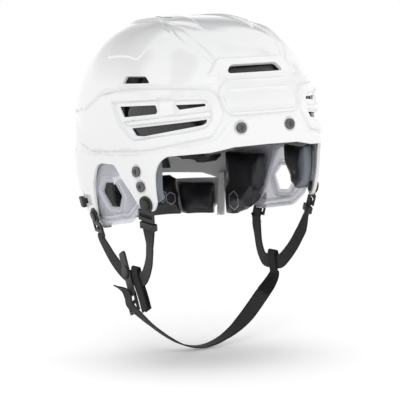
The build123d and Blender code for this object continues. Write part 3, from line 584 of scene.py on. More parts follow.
def edge_strip(loop, is_hole, panels, grooves, inset, wall, round_over):
    """Rounded edge of a moulding round a loop, from its outer face to its inner face."""
    top = lifted(loop, panels, grooves, inset)
    out = facing_out(loop, panels, grooves, inset)
    bottom = lifted(loop, [], [], inset + wall)
    ahead = np.roll(top, -1, 0) - np.roll(top, 1, 0)
    away = np.cross(ahead, out)
    away /= np.linalg.norm(away, axis=1)[:, None]
    trial = disc_place(top + away)
    if (np.mean(depth_inside(trial, loop)) > 0) != is_hole:
        away = -away
    depth = np.linalg.norm(top - bottom, axis=1)[:, None]
    rows, facings = [], []
    for angle in np.linspace(0, math.pi / 2, 5):
        rows.append(top + away * round_over * math.sin(angle) - out * round_over * (1 - math.cos(angle)))
        facings.append(out * math.cos(angle) + away * math.sin(angle))
    for angle in np.linspace(math.pi / 2, 0, 4):
        rows.append(
            top - out * depth + away * round_over * math.sin(angle) + out * round_over * (1 - math.cos(angle))
        )
        facings.append(-out * math.cos(angle) + away * math.sin(angle))
    faces = ring_faces(len(rows), len(loop))
    points, facings = np.concatenate(rows), np.concatenate(facings)
    first = points[faces[0][1]] - points[faces[0][0]]
    second = points[faces[0][3]] - points[faces[0][0]]
    if np.cross(first, second) @ facings[faces[0][0]] < 0:
        faces = [face[::-1] for face in faces]
    return points, facings, faces


def smooth_shading(data):
    data.polygons.foreach_set("use_smooth", [True] * len(data.polygons))


def new_piece(name, points, faces, material, facings=None):
    """A mesh object from places in millimetres."""
    data = bpy.data.meshes.new(name)
    corners = [tuple(int(index) for index in face) for face in faces]
    data.from_pydata((np.asarray(points, float) / 1000).tolist(), [], corners)
    smooth_shading(data)
    data.update()
    if facings is not None:
        data.normals_split_custom_set_from_vertices([tuple(way) for way in facings])
    data.materials.append(material)
    return placed(name, data)


def moulding(
    name, rim, holes, panels, grooves, inset, wall, round_over, spacing, limit, material, inner_panels=()
):
    """A moulded wall on the dome: outer face, inner face and rounded edges."""
    outer, outer_faces = net(rim, holes, panels, grooves, spacing, limit)
    inner, inner_faces = net(rim, holes, inner_panels, [], spacing if inner_panels else spacing * 1.5, limit)
    outside = (panels, grooves, inset)
    inner_facings = -facing_out(inner, inner_panels, [], inset)
    parts = [
        (lifted(outer, *outside), facing_out(outer, *outside), outer_faces.tolist()),
        (lifted(inner, inner_panels, [], inset + wall), inner_facings, inner_faces[:, ::-1].tolist()),
        edge_strip(rim, False, *outside, wall, round_over),
        *(edge_strip(hole, True, *outside, wall, round_over) for hole in holes),
    ]
    points, facings, faces = [], [], []
    start = 0
    for part_points, part_facings, part_faces in parts:
        points.append(part_points)
        facings.append(part_facings)
        faces += [[start + index for index in face] for face in part_faces]
        start += len(part_points)
    return new_piece(name, np.concatenate(points), faces, material, np.concatenate(facings))


def drawn(heading, shares, radius):
    """An outline of a view with rounded corners."""
    return rounded(in_view(heading, shares), radius)


def circle(radius, count):
    """Points round the origin."""
    turns = np.linspace(0, 2 * math.pi, count + 1)[:-1]
    return [(radius * math.cos(turn), radius * math.sin(turn)) for turn in turns]


# Outlines in shares; the tables below say in which view each one is drawn
pod = (
    (0.237, 0.546), (0.55, 0.543), (0.825, 0.528), (0.885, 0.46), (0.921, 0.391), (0.925, 0.344),
    (0.854, 0.222), (0.264, 0.142), (-0.567, 0.11), (-0.85, 0.16), (-0.78, 0.37), (-0.44, 0.505),
    (-0.12, 0.541),
)
pod_recess = (
    (-0.267, 0.457), (0.309, 0.474), (0.78, 0.47), (0.835, 0.42), (0.852, 0.347), (0.809, 0.284),
    (0.639, 0.257), (0.081, 0.205), (-0.021, 0.25), (-0.131, 0.308),
)
rib = ((-0.1, 0.33), (0.835, 0.397), (0.838, 0.352), (0.01, 0.298))
pillar = ((0.34, 0.49), (0.515, 0.49), (0.556, 0.37), (0.357, 0.35))
upper_crown = (
    (-0.75, 0.39), (-0.6, 0.45), (-0.44, 0.52), (-0.12, 0.556), (0.234, 0.562), (0.784, 0.55),
    (0.842, 0.56), (0.85, 0.6), (0.756, 0.7), (0.566, 0.79), (0.274, 0.906), (-0.1, 0.99), (-0.6, 0.99),
    (-1.1, 0.8), (-1.2, 0.36),
)
lower_band = (
    (1.5, 0.352), (1.02, 0.352), (0.964, 0.337), (0.868, 0.212), (0.264, 0.13), (-0.567, 0.098), (-0.9, 0.12),
    (-1.2, 0.1), (-1.2, -1.0), (1.5, -1.0),
)
plate_frame = (
    (-0.33, 0.348), (-0.385, 0.39), (-0.415, 0.49), (-0.385, 0.55), (-0.3, 0.588), (0.3, 0.588),
    (0.385, 0.55), (0.415, 0.49), (0.385, 0.39), (0.33, 0.348),
)
bare_plate = (
    (-0.32, 0.374), (-0.36, 0.4), (-0.375, 0.49), (-0.32, 0.53), (0.32, 0.53), (0.375, 0.49), (0.36, 0.4),
    (0.32, 0.374),
)
vent_brow = ((-0.33, 0.722), (0.33, 0.722), (0.47, 0.6), (-0.47, 0.6))
crown_ridge = ((0.25, -0.6), (0.42, -0.3), (0.44, 0.2), (0.36, 0.62), (0.22, 0.62), (0.2, 0.2), (0.2, -0.3))
crown_facet = (
    (-0.815, 0.063), (-0.791, -0.354), (-0.58, -0.451), (-0.51, -0.456), (-0.501, -0.327), (-0.538, -0.091),
    (-0.66, 0.2),
)
rear_spine = ((-0.3, 0.86), (0.3, 0.86), (0.36, 0.4), (0.24, 0.12), (-0.24, 0.12), (-0.36, 0.4))
# View, outline, radius of its corners, and how high and wide its edge rises
shell_panels = [
    (heading, drawn(heading, shares, radius), rise, width)
    for heading, shares, radius, rise, width in (
        (60, pod, 5, 2.9, 2.8),
        (60, pod_recess, 3.5, -3.2, 2.2),
        (60, rib, 1.5, 2.9, 1.7),
        (60, pillar, 2, 2.3, 3.2),
        (60, upper_crown, 4, 1.3, 1.5),
        (60, lower_band, 5, 0.9, 2.0),
        (0, plate_frame, 3, 2.6, 2.4),
        (0, bare_plate, 2, -1.4, 0.9),
        (0, vent_brow, 3, 2.0, 2.0),
        ("plan", [(-x, y) for x, y in crown_ridge], 4, 2.4, 4.2),
        ("plan", crown_facet, 3, 0.9, 1.2),
        (180, rear_spine, 6, 1.8, 4.0),
    )
]
# Round seats: two for the face guard's screws at each temple, one for each forehead screw, strap stud,
# strap rivet and cradle knob
seat_radius, seat_rise, seat_edge = 7.4, -0.9, 1.3
for heading, x, z in (
    (0, -27.0, 41.5), (90, 70.0, 1.3), (90, 74.0, -13.2),
    (90, 77.0, -30.0), (90, -32.0, -50.0), (90, -50.0, -36.0),
):
    shell_panels.append((heading, np.array(circle(seat_radius, 24)) + (x, z), seat_rise, seat_edge))
shell_grooves = [
    (heading, in_view(heading, shares), rise, width)
    for heading, shares, rise, width in (
        (60, ((-0.5, 0.487), (-0.12, 0.548), (0.234, 0.552), (0.784, 0.54), (0.88, 0.48)), -1.1, 2.2),
        ("plan", ((-0.398, -0.3), (-0.408, -0.651), (-0.348, -0.784)), -0.9, 2.0),
    )
]
side_vents = (
    (75, ((0.15, 0.626), (0.434, 0.626), (0.5, 0.586), (0.497, 0.57), (0.129, 0.567), (0.124, 0.586)), 2.5),
    (75, ((0.095, 0.432), (0.606, 0.446), (0.638, 0.396), (0.617, 0.377), (0.192, 0.352), (0.129, 0.405)),
     2.5),
    (45, ((0.2, 0.445), (0.485, 0.449), (0.496, 0.422), (0.241, 0.402)), 1.6),
    (54, ((-0.101, 0.294), (0.696, 0.349), (0.691, 0.318), (0.657, 0.301), (0.066, 0.233), (-0.033, 0.236)),
     2.5),
    ("plan", ((-0.3, -0.22), (-0.345, -0.22), (-0.36, -0.02), (-0.315, -0.02)), 1.5),
    (160, ((-0.22, 0.5), (0.16, 0.5), (0.12, 0.43), (-0.16, 0.43)), 3.0),
)
front_vent = ((-0.235, 0.678), (0.235, 0.678), (0.285, 0.635), (0.27, 0.612), (-0.27, 0.612), (-0.285, 0.635))

edge_step = 1.6
shell_holes = []
for heading, shares, radius in (*side_vents, (0, front_vent, 4)):
    loop = onto_dome(beside(stepped(drawn(heading, shares, radius), edge_step), 0.3), heading)
    shell_holes += [disc_place(twin) for twin in (both_ways(loop) if heading != 0 else [loop])]

edge_shares = (
    (-0.919, 0.134), (-0.703, 0.114), (-0.645, 0.06), (-0.622, 0.0), (-0.598, -0.2), (-0.565, -0.245),
    (-0.527, -0.255), (-0.446, -0.221), (-0.4, -0.14), (-0.23, 0.047), (-0.027, 0.047), (0.05, 0.02),
    (0.143, -0.107), (0.2, -0.3), (0.24, -0.375), (0.3, -0.39), (0.4, -0.36), (0.602, -0.242), (0.82, -0.165),
)
edge_side = side_outline(edge_shares) * (-1, 1)
edge_side = stepped(rounded(edge_side, 6, closed=False), edge_step, closed=False)
front_x = np.linspace(0, half_at(*edge_side[0]), 34)[:-1]
front_level = np.interp(front_x, (0, 35, 57), (24.9, 24.2, edge_side[0][1]))
rear_x = np.linspace(half_at(*edge_side[-1]), 0, 40)[1:]
rear_level = np.linspace(edge_side[-1][1], -20.5, 39)
right_edge = np.concatenate([
    np.stack([-front_x, -reach_at(front_x, front_level, front_reach), front_level], 1),
    np.stack([-half_at(*edge_side.T), *edge_side.T], 1),
    np.stack([-rear_x, reach_at(rear_x, rear_level, rear_reach), rear_level], 1),
])
shell_rim = disc_place(np.concatenate([right_edge, (right_edge * (-1, 1, 1))[-2:0:-1]]))

gloss = Finish("gloss_white_shell")
flow = gloss.fade(gloss.noise(9.0, 3.0), 0.35, 0.7)
shell_white = gloss.surface(
    Base_Color=gloss.mix(flow, (0.875, 0.878, 0.882), (0.895, 0.895, 0.897)),
    Roughness=gloss.noise(240.0, 2.0) * 0.05 + 0.12,
    Coat_Weight=0.8,
    Coat_Roughness=0.04,
    bump=gloss.noise(60.0, 1.0),
    bump_strength=0.04,
)
shell_round_over, shell_spacing, shell_limit = 0.7, 0.0185, 1.45
shell = moulding(
    "shell", shell_rim, shell_holes, shell_panels, shell_grooves, 0.0, shell_wall,
    shell_round_over, shell_spacing, shell_limit, shell_white,
)
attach(shell, "helmet")
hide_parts("outer_shell")

# Screws: dark plated pan heads with a cross recess, two on the forehead and two ahead of each ear.
# They hold a face guard, and their flanged nuts sit behind the wall.
dark_steel = Finish("dark_plated_steel")
worn = dark_steel.noise(700.0, 3.0)
dark_plate = dark_steel.surface(
    Base_Color=dark_steel.ramp(worn, (0.3, (0.10, 0.10, 0.11)), (0.75, (0.22, 0.22, 0.23))),
    Metallic=1.0,
    Roughness=worn * 0.25 + 0.22,
    bump=dark_steel.noise(1500.0, 2.0),
    bump_strength=0.15,
    bump_distance=0.0002,
)
plain_steel = Finish("plated_nut_steel")
tarnish = plain_steel.noise(400.0)
bright_plate = plain_steel.surface(
    Base_Color=plain_steel.ramp(tarnish, (0.3, (0.45, 0.45, 0.46)), (0.8, (0.62, 0.62, 0.62))),
    Metallic=1.0,
    Roughness=0.4,
)


def dress(node, material, edge=0.35):
    """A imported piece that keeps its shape: rounded edges and its own finish."""
    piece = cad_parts[node]
    piece.data.materials.clear()
    piece.data.materials.append(material)
    smooth_shading(piece.data)
    weld = piece.modifiers.new("weld", "WELD")
    weld.merge_threshold = 1e-5
    bevel = piece.modifiers.new("edges", "BEVEL")
    bevel.width = edge / 1000
    bevel.segments = 2
    bevel.limit_method = "ANGLE"
    bevel.angle_limit = math.radians(40)
    bevel.harden_normals = True


for node in ("brow_screws", "temple_screws_right", "temple_screws_left"):
    dress(node, dark_plate, 0.5)
for node in ("brow_nuts", "temple_nuts_right", "temple_nuts_left"):
    dress(node, bright_plate, 0.2)

# Ear guards: clear, faintly violet plates behind the shell's edge, with a raised bead round their
# outline and a bevelled rim round the six-sided ear hole.
guard_inset, guard_wall, guard_round_over = 2.7, 2.2, 0.6
guard_spacing, guard_limit = 0.02, 1.5
guard_outline = (
    (-0.568, 0.054), (-0.558, -0.134), (-0.473, -0.151), (-0.446, -0.242), (-0.277, -0.349), (0.128, -0.403),
    (0.29, -0.385), (0.31, -0.295), (0.205, -0.2), (0.1, 0.09), (-0.068, 0.115), (-0.4, 0.115),
)
ear_hole = (
    (0.045, -0.161), (-0.027, -0.087), (-0.182, -0.081), (-0.25, -0.168), (-0.182, -0.255), (-0.041, -0.262)
)
guard_line = rounded(side_outline(guard_outline), 5)
hole_line = rounded(side_outline(ear_hole), 2.5)
guard_panels = [
    (90, beside(stepped(line, 1.5), distance), rise, width)
    for line, distance, rise, width in (
        (hole_line, -7.0, 2.3, 1.6),
        (hole_line, -3.4, -1.2, 1.3),
        (guard_line, 3.6, -1.3, 1.3),
        (guard_line, 8.5, 0.8, 1.2),
    )
]
# The same steps show on the inner face, a little lower than outside
inner_guard_panels = [(heading, outline, rise * 0.7, width) for heading, outline, rise, width in guard_panels]
clear = Finish("clear_guard_plastic")
haze = clear.noise(35.0, 3.0)
# The flanks of the steps are more opaque: painted highlight and shade lines along the bevels
painted_flank_lines = clear.attribute("painted_flank_lines")
clear_plastic = clear.surface(
    Base_Color=clear.ramp(haze, (0.3, (0.70, 0.71, 0.80)), (0.7, (0.80, 0.80, 0.87))),
    Roughness=haze * 0.12 + 0.1,
    Alpha=painted_flank_lines * 0.38 + 0.42,
    Coat_Weight=0.5,
    Coat_Roughness=0.08,
    IOR=1.5,
    bump=haze,
    bump_strength=0.1,
    bump_distance=0.0008,
)


def places_of(piece):
    """Places of the piece's points, in metres."""
    places = np.zeros(len(piece.data.vertices) * 3)
    piece.data.vertices.foreach_get("co", places)
    return places.reshape(-1, 3)


def mark_points(piece, name, values):
    """Gives each point a number or a vector that a finish reads."""
    kind, field = ("FLOAT", "value") if np.ndim(values) == 1 else ("FLOAT_VECTOR", "vector")
    piece.data.attributes.new(name, kind, "POINT").data.foreach_set(field, np.ravel(values))


for side_name, twin in (("right", 0), ("left", 1)):
    rim_places = both_ways(onto_dome(stepped(guard_line, edge_step), 90))[twin]
    hole_places = both_ways(onto_dome(stepped(hole_line, edge_step), 90))[twin]
    guard = moulding(
        f"clear_ear_guard_{side_name}", disc_place(rim_places), [disc_place(hole_places)], guard_panels, [],
        guard_inset, guard_wall, guard_round_over, guard_spacing, guard_limit, clear_plastic,
        inner_guard_panels,
    )
    # How near each point lies to the middle of a step's flank, which the finish paints as highlight and shade
    # lines
    side_places, _ = seen_from(places_of(guard) * 1000, 90)
    steep = np.zeros(len(side_places))
    for _, outline, _, width in guard_panels:
        depth = np.clip(depth_inside(side_places, outline) / width, 0, 1)
        steep = np.maximum(steep, 4 * depth * (1 - depth))
    mark_points(guard, "painted_flank_lines", steep)
    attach(guard, "helmet")
    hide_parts(f"ear_guard_{side_name}")

# Liner: soft foam pads under a smooth skin, glued inside the shell, and five more on the rear cradle.
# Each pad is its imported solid, drawn in a little and then blown up as cloth, so that it is crowned.
foam = Finish("charcoal_foam")
laid_out = foam.attribute("laid_out", "Vector")


def honeycomb(finish, place, cell):
    """Distance from the nearest side of a honeycomb, in cells."""
    x, y = (finish.part(place, axis) / cell + 100.0 for axis in "XY")
    root = math.sqrt(3)
    ax = finish.math("FLOORED_MODULO", x, 1.0) - 0.5
    ay = finish.math("FLOORED_MODULO", y, root) - root / 2
    bx = finish.math("FLOORED_MODULO", x - 0.5, 1.0) - 0.5
    by = finish.math("FLOORED_MODULO", y - root / 2, root) - root / 2
    nearer = finish.math("LESS_THAN", ax * ax + ay * ay, bx * bx + by * by)
    gx = bx + (ax - bx) * nearer
    gy = by + (ay - by) * nearer
    wide = finish.math("ABSOLUTE", gx)
    tall = finish.math("ABSOLUTE", gy)
    return 0.5 - finish.math("MAXIMUM", wide, wide * 0.5 + tall * (root / 2))


# Three hexagons are drawn in outline: how far out and how high they lie, and half their width
from_middle = foam.math("ABSOLUTE", foam.part(laid_out, "X"))
upward = foam.part(laid_out, "Y")
outlined = foam.part(laid_out, "Z")
outline_width = 0.45
drawn_cell = 0.0
for middle, level, half in ((16.6, -46.0, 5.6), (28.0, -49.0, 5.8), (116.0, -52.0, 9.0)):
    wide, tall = foam.math("ABSOLUTE", from_middle - middle), foam.math("ABSOLUTE", upward - level)
    from_side = foam.math("MAXIMUM", wide, wide * 0.5 + tall * (math.sqrt(3) / 2)) - half
    drawn_cell = foam.math("LESS_THAN", foam.math("ABSOLUTE", from_side), outline_width) + drawn_cell
drawn_cell = drawn_cell * outlined
small_edge = honeycomb(foam, laid_out, 4.2)
pressed = foam.math("MULTIPLY", small_edge, 6.0, clamp=True)
grain = foam.noise(900.0, 3.0)
skin_colour = foam.mix(
    pressed,
    (0.004, 0.004, 0.005),
    foam.ramp(foam.noise(22.0, 2.0), (0.3, (0.006, 0.007, 0.009)), (0.75, (0.014, 0.016, 0.021))),
)
# Painted highlight: a lighter colour on the temple pads' front edge
painted_front_highlight = foam.attribute("painted_front_highlight")
skin_colour = foam.mix(painted_front_highlight, skin_colour, (0.17, 0.2, 0.225))
charcoal_foam = foam.surface(
    Base_Color=foam.mix(drawn_cell, skin_colour, (0.42, 0.44, 0.48)),
    Roughness=grain * 0.15 + 0.28,
    Specular_IOR_Level=0.5,
    Coat_Weight=0.45,
    Coat_Roughness=0.16,
    bump=grain * 0.35 + pressed * 0.65 - drawn_cell * 0.5,
    bump_strength=0.5,
    bump_distance=0.0005,
)
strip = Finish("grained_brow_foam")
strip_grain = strip.noise(420.0, 4.0)
brow_foam = strip.surface(
    Base_Color=strip.ramp(strip_grain, (0.3, (0.035, 0.033, 0.032)), (0.7, (0.12, 0.11, 0.105))),
    Roughness=0.75,
    bump=strip_grain,
    bump_strength=0.6,
    bump_distance=0.0006,
)


def remeshed(name, node, shrink, voxel):
    """A copy of a packed pad in even quads, drawn in along its faces' directions."""
    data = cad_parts[node].data.copy()
    data.name = name
    data.materials.clear()
    pad = placed(name, data)
    even = pad.modifiers.new("even", "REMESH")
    even.mode = "VOXEL"
    even.voxel_size = voxel / 1000
    bake(pad)
    ways = np.zeros(len(pad.data.vertices) * 3)
    pad.data.vertices.foreach_get("normal", ways)
    places = places_of(pad) - ways.reshape(-1, 3) * shrink / 1000
    pad.data.vertices.foreach_set("co", places.ravel())
    pad.data.update()
    return pad


def bake(piece):
    """Applies the piece's modifiers."""
    graph = bpy.context.evaluated_depsgraph_get()
    data = bpy.data.meshes.new_from_object(piece.evaluated_get(graph))
    piece.modifiers.clear()
    piece.data = data


# Each kind of pad: whether it is a pair, and how far it may rise towards the head
pads = {
    "crown_pad": (False, 4.0),
    "crown_side_pad": (True, 4.0),
    "front_side_pad": (True, 3.0),
    "side_pad": (True, 3.5),
    "temple_pad": (True, 3.0),
    "rear_pad": (False, 3.5),
    "brow_pad": (False, 2.0),
    "nape_pad": (False, 3.5),
    "neck_pad": (True, 3.5),
    "neck_side_pad": (True, 3.5),
}
pad_nodes = {kind: [f"{kind}_right", f"{kind}_left"] if pair else [kind] for kind, (pair, _) in pads.items()}
on_cradle = ("nape_pad", "neck_pad", "neck_side_pad")
pad_shrink, pad_voxel, room_outside = 1.4, 4.5, 1.1
soft = {
    kind: remeshed(f"soft_{nodes[0]}", nodes[0], pad_shrink, pad_voxel) for kind, nodes in pad_nodes.items()
}
flat_places = {kind: places_of(pad) for kind, pad in soft.items()}
blow_frames = 20
for pad in soft.values():
    cloth = pad.modifiers.new("cloth", "CLOTH")
    cloth.settings.quality = 5
    cloth.settings.use_pressure = True
    cloth.settings.uniform_pressure_force = 4.0
    cloth.settings.tension_stiffness = 15
    cloth.settings.compression_stiffness = 15
    cloth.settings.bending_stiffness = 0.5
    cloth.settings.effector_weights.gravity = 0.0
    cloth.collision_settings.use_collision = False
    cloth.collision_settings.use_self_collision = False
    cloth.point_cache.frame_start = 1
    cloth.point_cache.frame_end = blow_frames
for step in range(1, blow_frames + 1):
    bpy.context.scene.frame_set(step)
for pad in soft.values():
    bake(pad)
bpy.context.scene.frame_set(1)

# The foam's pattern is laid out round the head on these radii, ahead and behind. The temple pads get a
# painted highlight: they are lighter at their front edge, where light from ahead would catch them
front_radius, rear_radius = 100.0, 115.0
edge_start, edge_fade = -74.0, 7.0
for kind, (_, cap) in pads.items():
    pad = soft[kind]
    moved = places_of(pad) - flat_places[kind]
    length = np.linalg.norm(moved, axis=1)[:, None]
    # Towards the head a pad may rise to its cap; towards the shell it stays in its own room
    towards_head = (moved * flat_places[kind]).sum(1)[:, None] < 0
    most = np.where(towards_head, cap, room_outside) / 1000
    pad.data.vertices.foreach_set(
        "co", (flat_places[kind] + moved * np.minimum(1, most / np.maximum(length, 1e-9))).ravel()
    )
    finer = pad.modifiers.new("finer", "SUBSURF")
    finer.levels = finer.render_levels = 1
    bake(pad)
    smooth_shading(pad.data)
    made = [pad]
    if len(pad_nodes[kind]) == 2:
        twin_data = pad.data.copy()
        twin_data.transform(Matrix.Scale(-1, 4, (1, 0, 0)))
        twin_data.flip_normals()
        made.append(placed(f"soft_{pad_nodes[kind][1]}", twin_data))
    for piece, node in zip(made, pad_nodes[kind]):
        places = places_of(piece) * 1000
        has_outlines = np.full(len(places), 1.0 if kind in ("nape_pad", "neck_side_pad") else 0.0)
        if kind.startswith("crown"):
            sideways = places[:, 0]
            lengthways = places[:, 1]
        else:
            behind = kind in on_cradle or kind == "rear_pad"
            turn = np.arctan2(places[:, 0], places[:, 1] if behind else -places[:, 1])
            sideways = turn * (rear_radius if behind else front_radius)
            lengthways = places[:, 2]
        mark_points(piece, "laid_out", np.stack([sideways, lengthways, has_outlines], 1))
        light = np.clip((edge_start - places[:, 1]) / edge_fade, 0, 1) * (kind == "temple_pad")
        mark_points(piece, "painted_front_highlight", light)
        piece.data.materials.clear()
        piece.data.materials.append(brow_foam if kind == "brow_pad" else charcoal_foam)
        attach(piece, "cradle" if kind in on_cradle else "helmet")
        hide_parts(node)

# Rear cradle: a pale grey moulded band with ribs, its black knobs outside the shell, and the fit dial
# behind it, whose spool draws in the laces.
pale = Finish("pale_grey_plastic")
pale_noise = pale.noise(300.0, 3.0)
cradle_plastic = pale.surface(
    Base_Color=pale.ramp(pale_noise, (0.3, (0.74, 0.74, 0.74)), (0.7, (0.82, 0.82, 0.815))),
    Roughness=pale_noise * 0.15 + 0.35,
    bump=pale.noise(1200.0, 2.0),
    bump_strength=0.15,
    bump_distance=0.0003,
)
black = Finish("black_moulded_plastic")
black_noise = black.noise(500.0, 3.0)
black_plastic = black.surface(
    Base_Color=black.ramp(black_noise, (0.3, (0.020, 0.020, 0.019)), (0.75, (0.040, 0.040, 0.037))),
    Roughness=black_noise * 0.2 + 0.36,
    Specular_IOR_Level=0.4,
    bump=black.noise(2200.0, 2.0),
    bump_strength=0.25,
    bump_distance=0.0002,
)
dress("cradle", cradle_plastic, 0.6)
for node in (
    "cradle_knob_right", "cradle_knob_left", "dial_housing", "fit_dial",
    "lace_anchor_right", "lace_anchor_left",
):
    dress(node, black_plastic, 0.7 if "knob" in node else 0.4)
dress("dial_spool", black_plastic, 0.15)
dress("dial_axle", dark_plate, 0.3)

# Laces: thin braided cord between the dial's spool and the anchors on the shell's inner face.
# Both ends are held, so the cord is taut round the cradle.
braid = Finish("braided_lace")
strand = braid.attribute("laid_out", "Vector")
strand_along, strand_round = braid.part(strand, "X"), braid.part(strand, "Y")
strand_turns = strand_along * 4.0
crossing = braid.math("SINE", strand_turns + strand_round) * braid.math("SINE", strand_turns - strand_round)
lace_cord = braid.surface(
    Base_Color=braid.ramp(crossing * 0.5 + 0.5, (0.2, (0.01, 0.01, 0.01)), (0.8, (0.07, 0.07, 0.07))),
    Roughness=0.7,
    bump=crossing,
    bump_strength=0.5,
    bump_distance=0.0002,
)


def smooth_line(points, steps):
    """A smooth line through points."""
    points = [Vector(point) for point in points]
    padded_points = [points[0] * 2 - points[1], *points, points[-1] * 2 - points[-2]]
    made = []
    for p0, p1, p2, p3 in zip(padded_points, padded_points[1:], padded_points[2:], padded_points[3:]):
        for t in (step / steps for step in range(steps)):
            square, cube = 2 * p0 - 5 * p1 + 4 * p2 - p3, 3 * p1 - p0 - 3 * p2 + p3
            made.append(0.5 * (2 * p1 + (p2 - p0) * t + square * t**2 + cube * t**3))
    made.append(points[-1])
    return made


def along_line(name, line, ways, section, material):
    """A band or tube: a section carried along a line, with its width in the directions of ways."""
    count = len(section)
    points, laid = [], []
    run = 0.0
    for index, place in enumerate(line):
        ahead = (line[min(index + 1, len(line) - 1)] - line[max(index - 1, 0)]).normalized()
        wide = (ways[index] - ahead * ways[index].dot(ahead)).normalized()
        thick = ahead.cross(wide)
        if index:
            run += (place - line[index - 1]).length
        for number, (across, proud) in enumerate(section):
            points.append(place + wide * across + thick * proud)
            laid.append((run, number * 2 * math.pi / count if count < 12 else across, proud))
    piece = new_piece(name, points, ring_faces(len(line), count, capped=True), material)
    mark_points(piece, "laid_out", np.array(laid, float))
    return piece


dial_level, lace_inset, lace_radius = -50.0, 4.6, 0.6
rear_inset = lace_inset * 1.02
at_spool, past_housing = 7.6, 21.6
anchor_y, bend_y = 48.7, 52.2
dial_seat = float(np.mean([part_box("dial_spool")[0].y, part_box("dial_spool")[1].y])) * 1000
lace_points = [(-at_spool, dial_seat, dial_level), (-past_housing, dial_seat, dial_level)]
for x in (share * half_width for share in (0.29, 0.43, 0.56, 0.67, 0.76, 0.82)):
    lace_points.append((-x, float(reach_at(x, dial_level, rear_reach)) - rear_inset, dial_level))
for y in (bend_y, anchor_y):
    lace_points.append((-float(half_at(y, dial_level)) + lace_inset, y, dial_level))
for side_name, mirror in (("right", 1), ("left", -1)):
    line = smooth_line([(x * mirror, y, z) for x, y, z in lace_points], 8)
    upright = [Vector((0, 0, 1))] * len(line)
    lace = along_line(f"braided_lace_{side_name}", line, upright, circle(lace_radius, 8), lace_cord)
    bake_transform(lace)
    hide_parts(f"lace_{side_name}")

# Studs and rivets hold the straps' black plastic clips and hooks, which swing on them. A keeper sits on
# each side strap below its clip, the slider on the right yoke and the snap's socket behind the tab.
for kind in ("front_strap_stud", "rear_strap_rivet", "front_strap_clip", "rear_strap_hook", "strap_keeper"):
    for side_name in ("right", "left"):
        dress(f"{kind}_{side_name}", black_plastic, 0.5)
for node in ("strap_slider", "snap_socket"):
    dress(node, black_plastic, 0.5)
dress("snap_stud", dark_plate, 0.3)

# Straps: charcoal woven webbing 15 mm wide and 1.4 mm thick. One side strap on each side runs from the
# front clip, through the yoke under the ear, up to the rear hook.
def woven(name, dark, light):
    """Woven webbing: ribs along it, crossed by finer threads, and plain edges."""
    cloth = Finish(name)
    threads = cloth.attribute("laid_out", "Vector")
    along, across = cloth.part(threads, "X"), cloth.part(threads, "Y")
    ribs = cloth.math("SINE", across * 2.6)
    weft = cloth.math("SINE", along * 3.4 + ribs * 1.4)
    weave = cloth.math("ABSOLUTE", ribs) * 0.6 + (weft * 0.5 + 0.5) * 0.4
    selvedge = cloth.math("GREATER_THAN", cloth.math("ABSOLUTE", across), 6.3)
    fuzz = cloth.noise(1100.0, 3.0)
    threads_colour = cloth.ramp(weave * 0.8 + fuzz * 0.2, (0.15, (dark,) * 3), (0.85, (light,) * 3))
    return cloth.surface(
        Base_Color=cloth.mix(selvedge, threads_colour, ((dark + light) / 3,) * 3),
        Roughness=0.8,
        Specular_IOR_Level=0.3,
        Sheen_Weight=0.08,
        Sheen_Roughness=0.5,
        bump=weave + fuzz * 0.2,
        bump_strength=0.7,
        bump_distance=0.0004,
    )


webbing = woven("charcoal_webbing", 0.008, 0.046)
doubled_webbing = woven("sewn_black_webbing", 0.003, 0.014)
web_width, web = 15.0, 1.4


def web_section(width, thickness):
    """Outline across webbing: flat faces and round edges."""
    half, thin = width / 2, thickness / 2
    inner = half - thin
    turns = np.linspace(0, math.pi, 6)[1:-1]
    top = [(x, thin) for x in np.linspace(inner, -inner, 9)]
    left = [(-inner - thin * math.sin(turn), thin * math.cos(turn)) for turn in turns]
    bottom = [(x, -thin) for x in np.linspace(-inner, inner, 9)]
    right_end = [(inner + thin * math.sin(turn), -thin * math.cos(turn)) for turn in turns]
    return [*top, *left, *bottom, *right_end]


def smooth_ways(ways, steps):
    """Width directions between those given at the points."""
    made = []
    for way, after in zip(ways, ways[1:]):
        made += [way.lerp(after, step / steps).normalized() for step in range(steps)]
    made.append(ways[-1])
    return made


def seat(y, level, along):
    """Place on the dome's right side, its outward direction, and the direction nearest to the one given."""
    step = 0.1
    slope_y = float(half_at(y + step, level) - half_at(y - step, level)) / (2 * step)
    slope_z = float(half_at(y, level + step) - half_at(y, level - step)) / (2 * step)
    out = Vector((-1, -slope_y, -slope_z)).normalized()
    way = Vector(along)
    way = (way - out * way.dot(out)).normalized()
    return Vector((-float(half_at(y, level)), y, level)), out, way


def above_seat(place, along, height):
    """Place at a distance along a seat's direction and at a height over it."""
    origin, out, way = place
    return origin + way * along + out * height


stud_place = seat(-0.52 * front_reach, -0.2013 * crown_height, (0, 0.2, -0.98))
rivet_place = seat(0.2406 * rear_reach, -0.3356 * crown_height, (0, 0.05, -0.99))
clip_length, hook_length, clip_lap = 18.0, 18.0, 7.3
keeper_wall, keeper_length = 1.6, 7.0
part_gap = 0.3
keeper_start = clip_length + keeper_wall + 2 * part_gap
web_height = -0.5
side_shares = (
    (-0.824, -0.44, -0.487), (-0.808, -0.412, -0.537), (-0.785, -0.365, -0.61), (-0.763, -0.29, -0.69),
    (-0.75, -0.215, -0.742), (-0.75, -0.122, -0.75), (-0.75, -0.014, -0.75), (-0.763, 0.09, -0.715),
    (-0.785, 0.184, -0.651), (-0.824, 0.244, -0.56), (-0.865, 0.252, -0.49),
)


def in_space(shares):
    """Places in space from shares of the half-width, the reach and the crown's height."""
    return [Vector((x * half_width, y * reach_of(y), z * crown_height)) for x, y, z in shares]


def width_ways(points, faces):
    """Width directions for webbing whose face looks the given way at each point."""
    ways = []
    for index, face in enumerate(faces):
        ahead = points[min(index + 1, len(points) - 1)] - points[max(index - 1, 0)]
        ways.append(ahead.cross(face).normalized())
    return ways


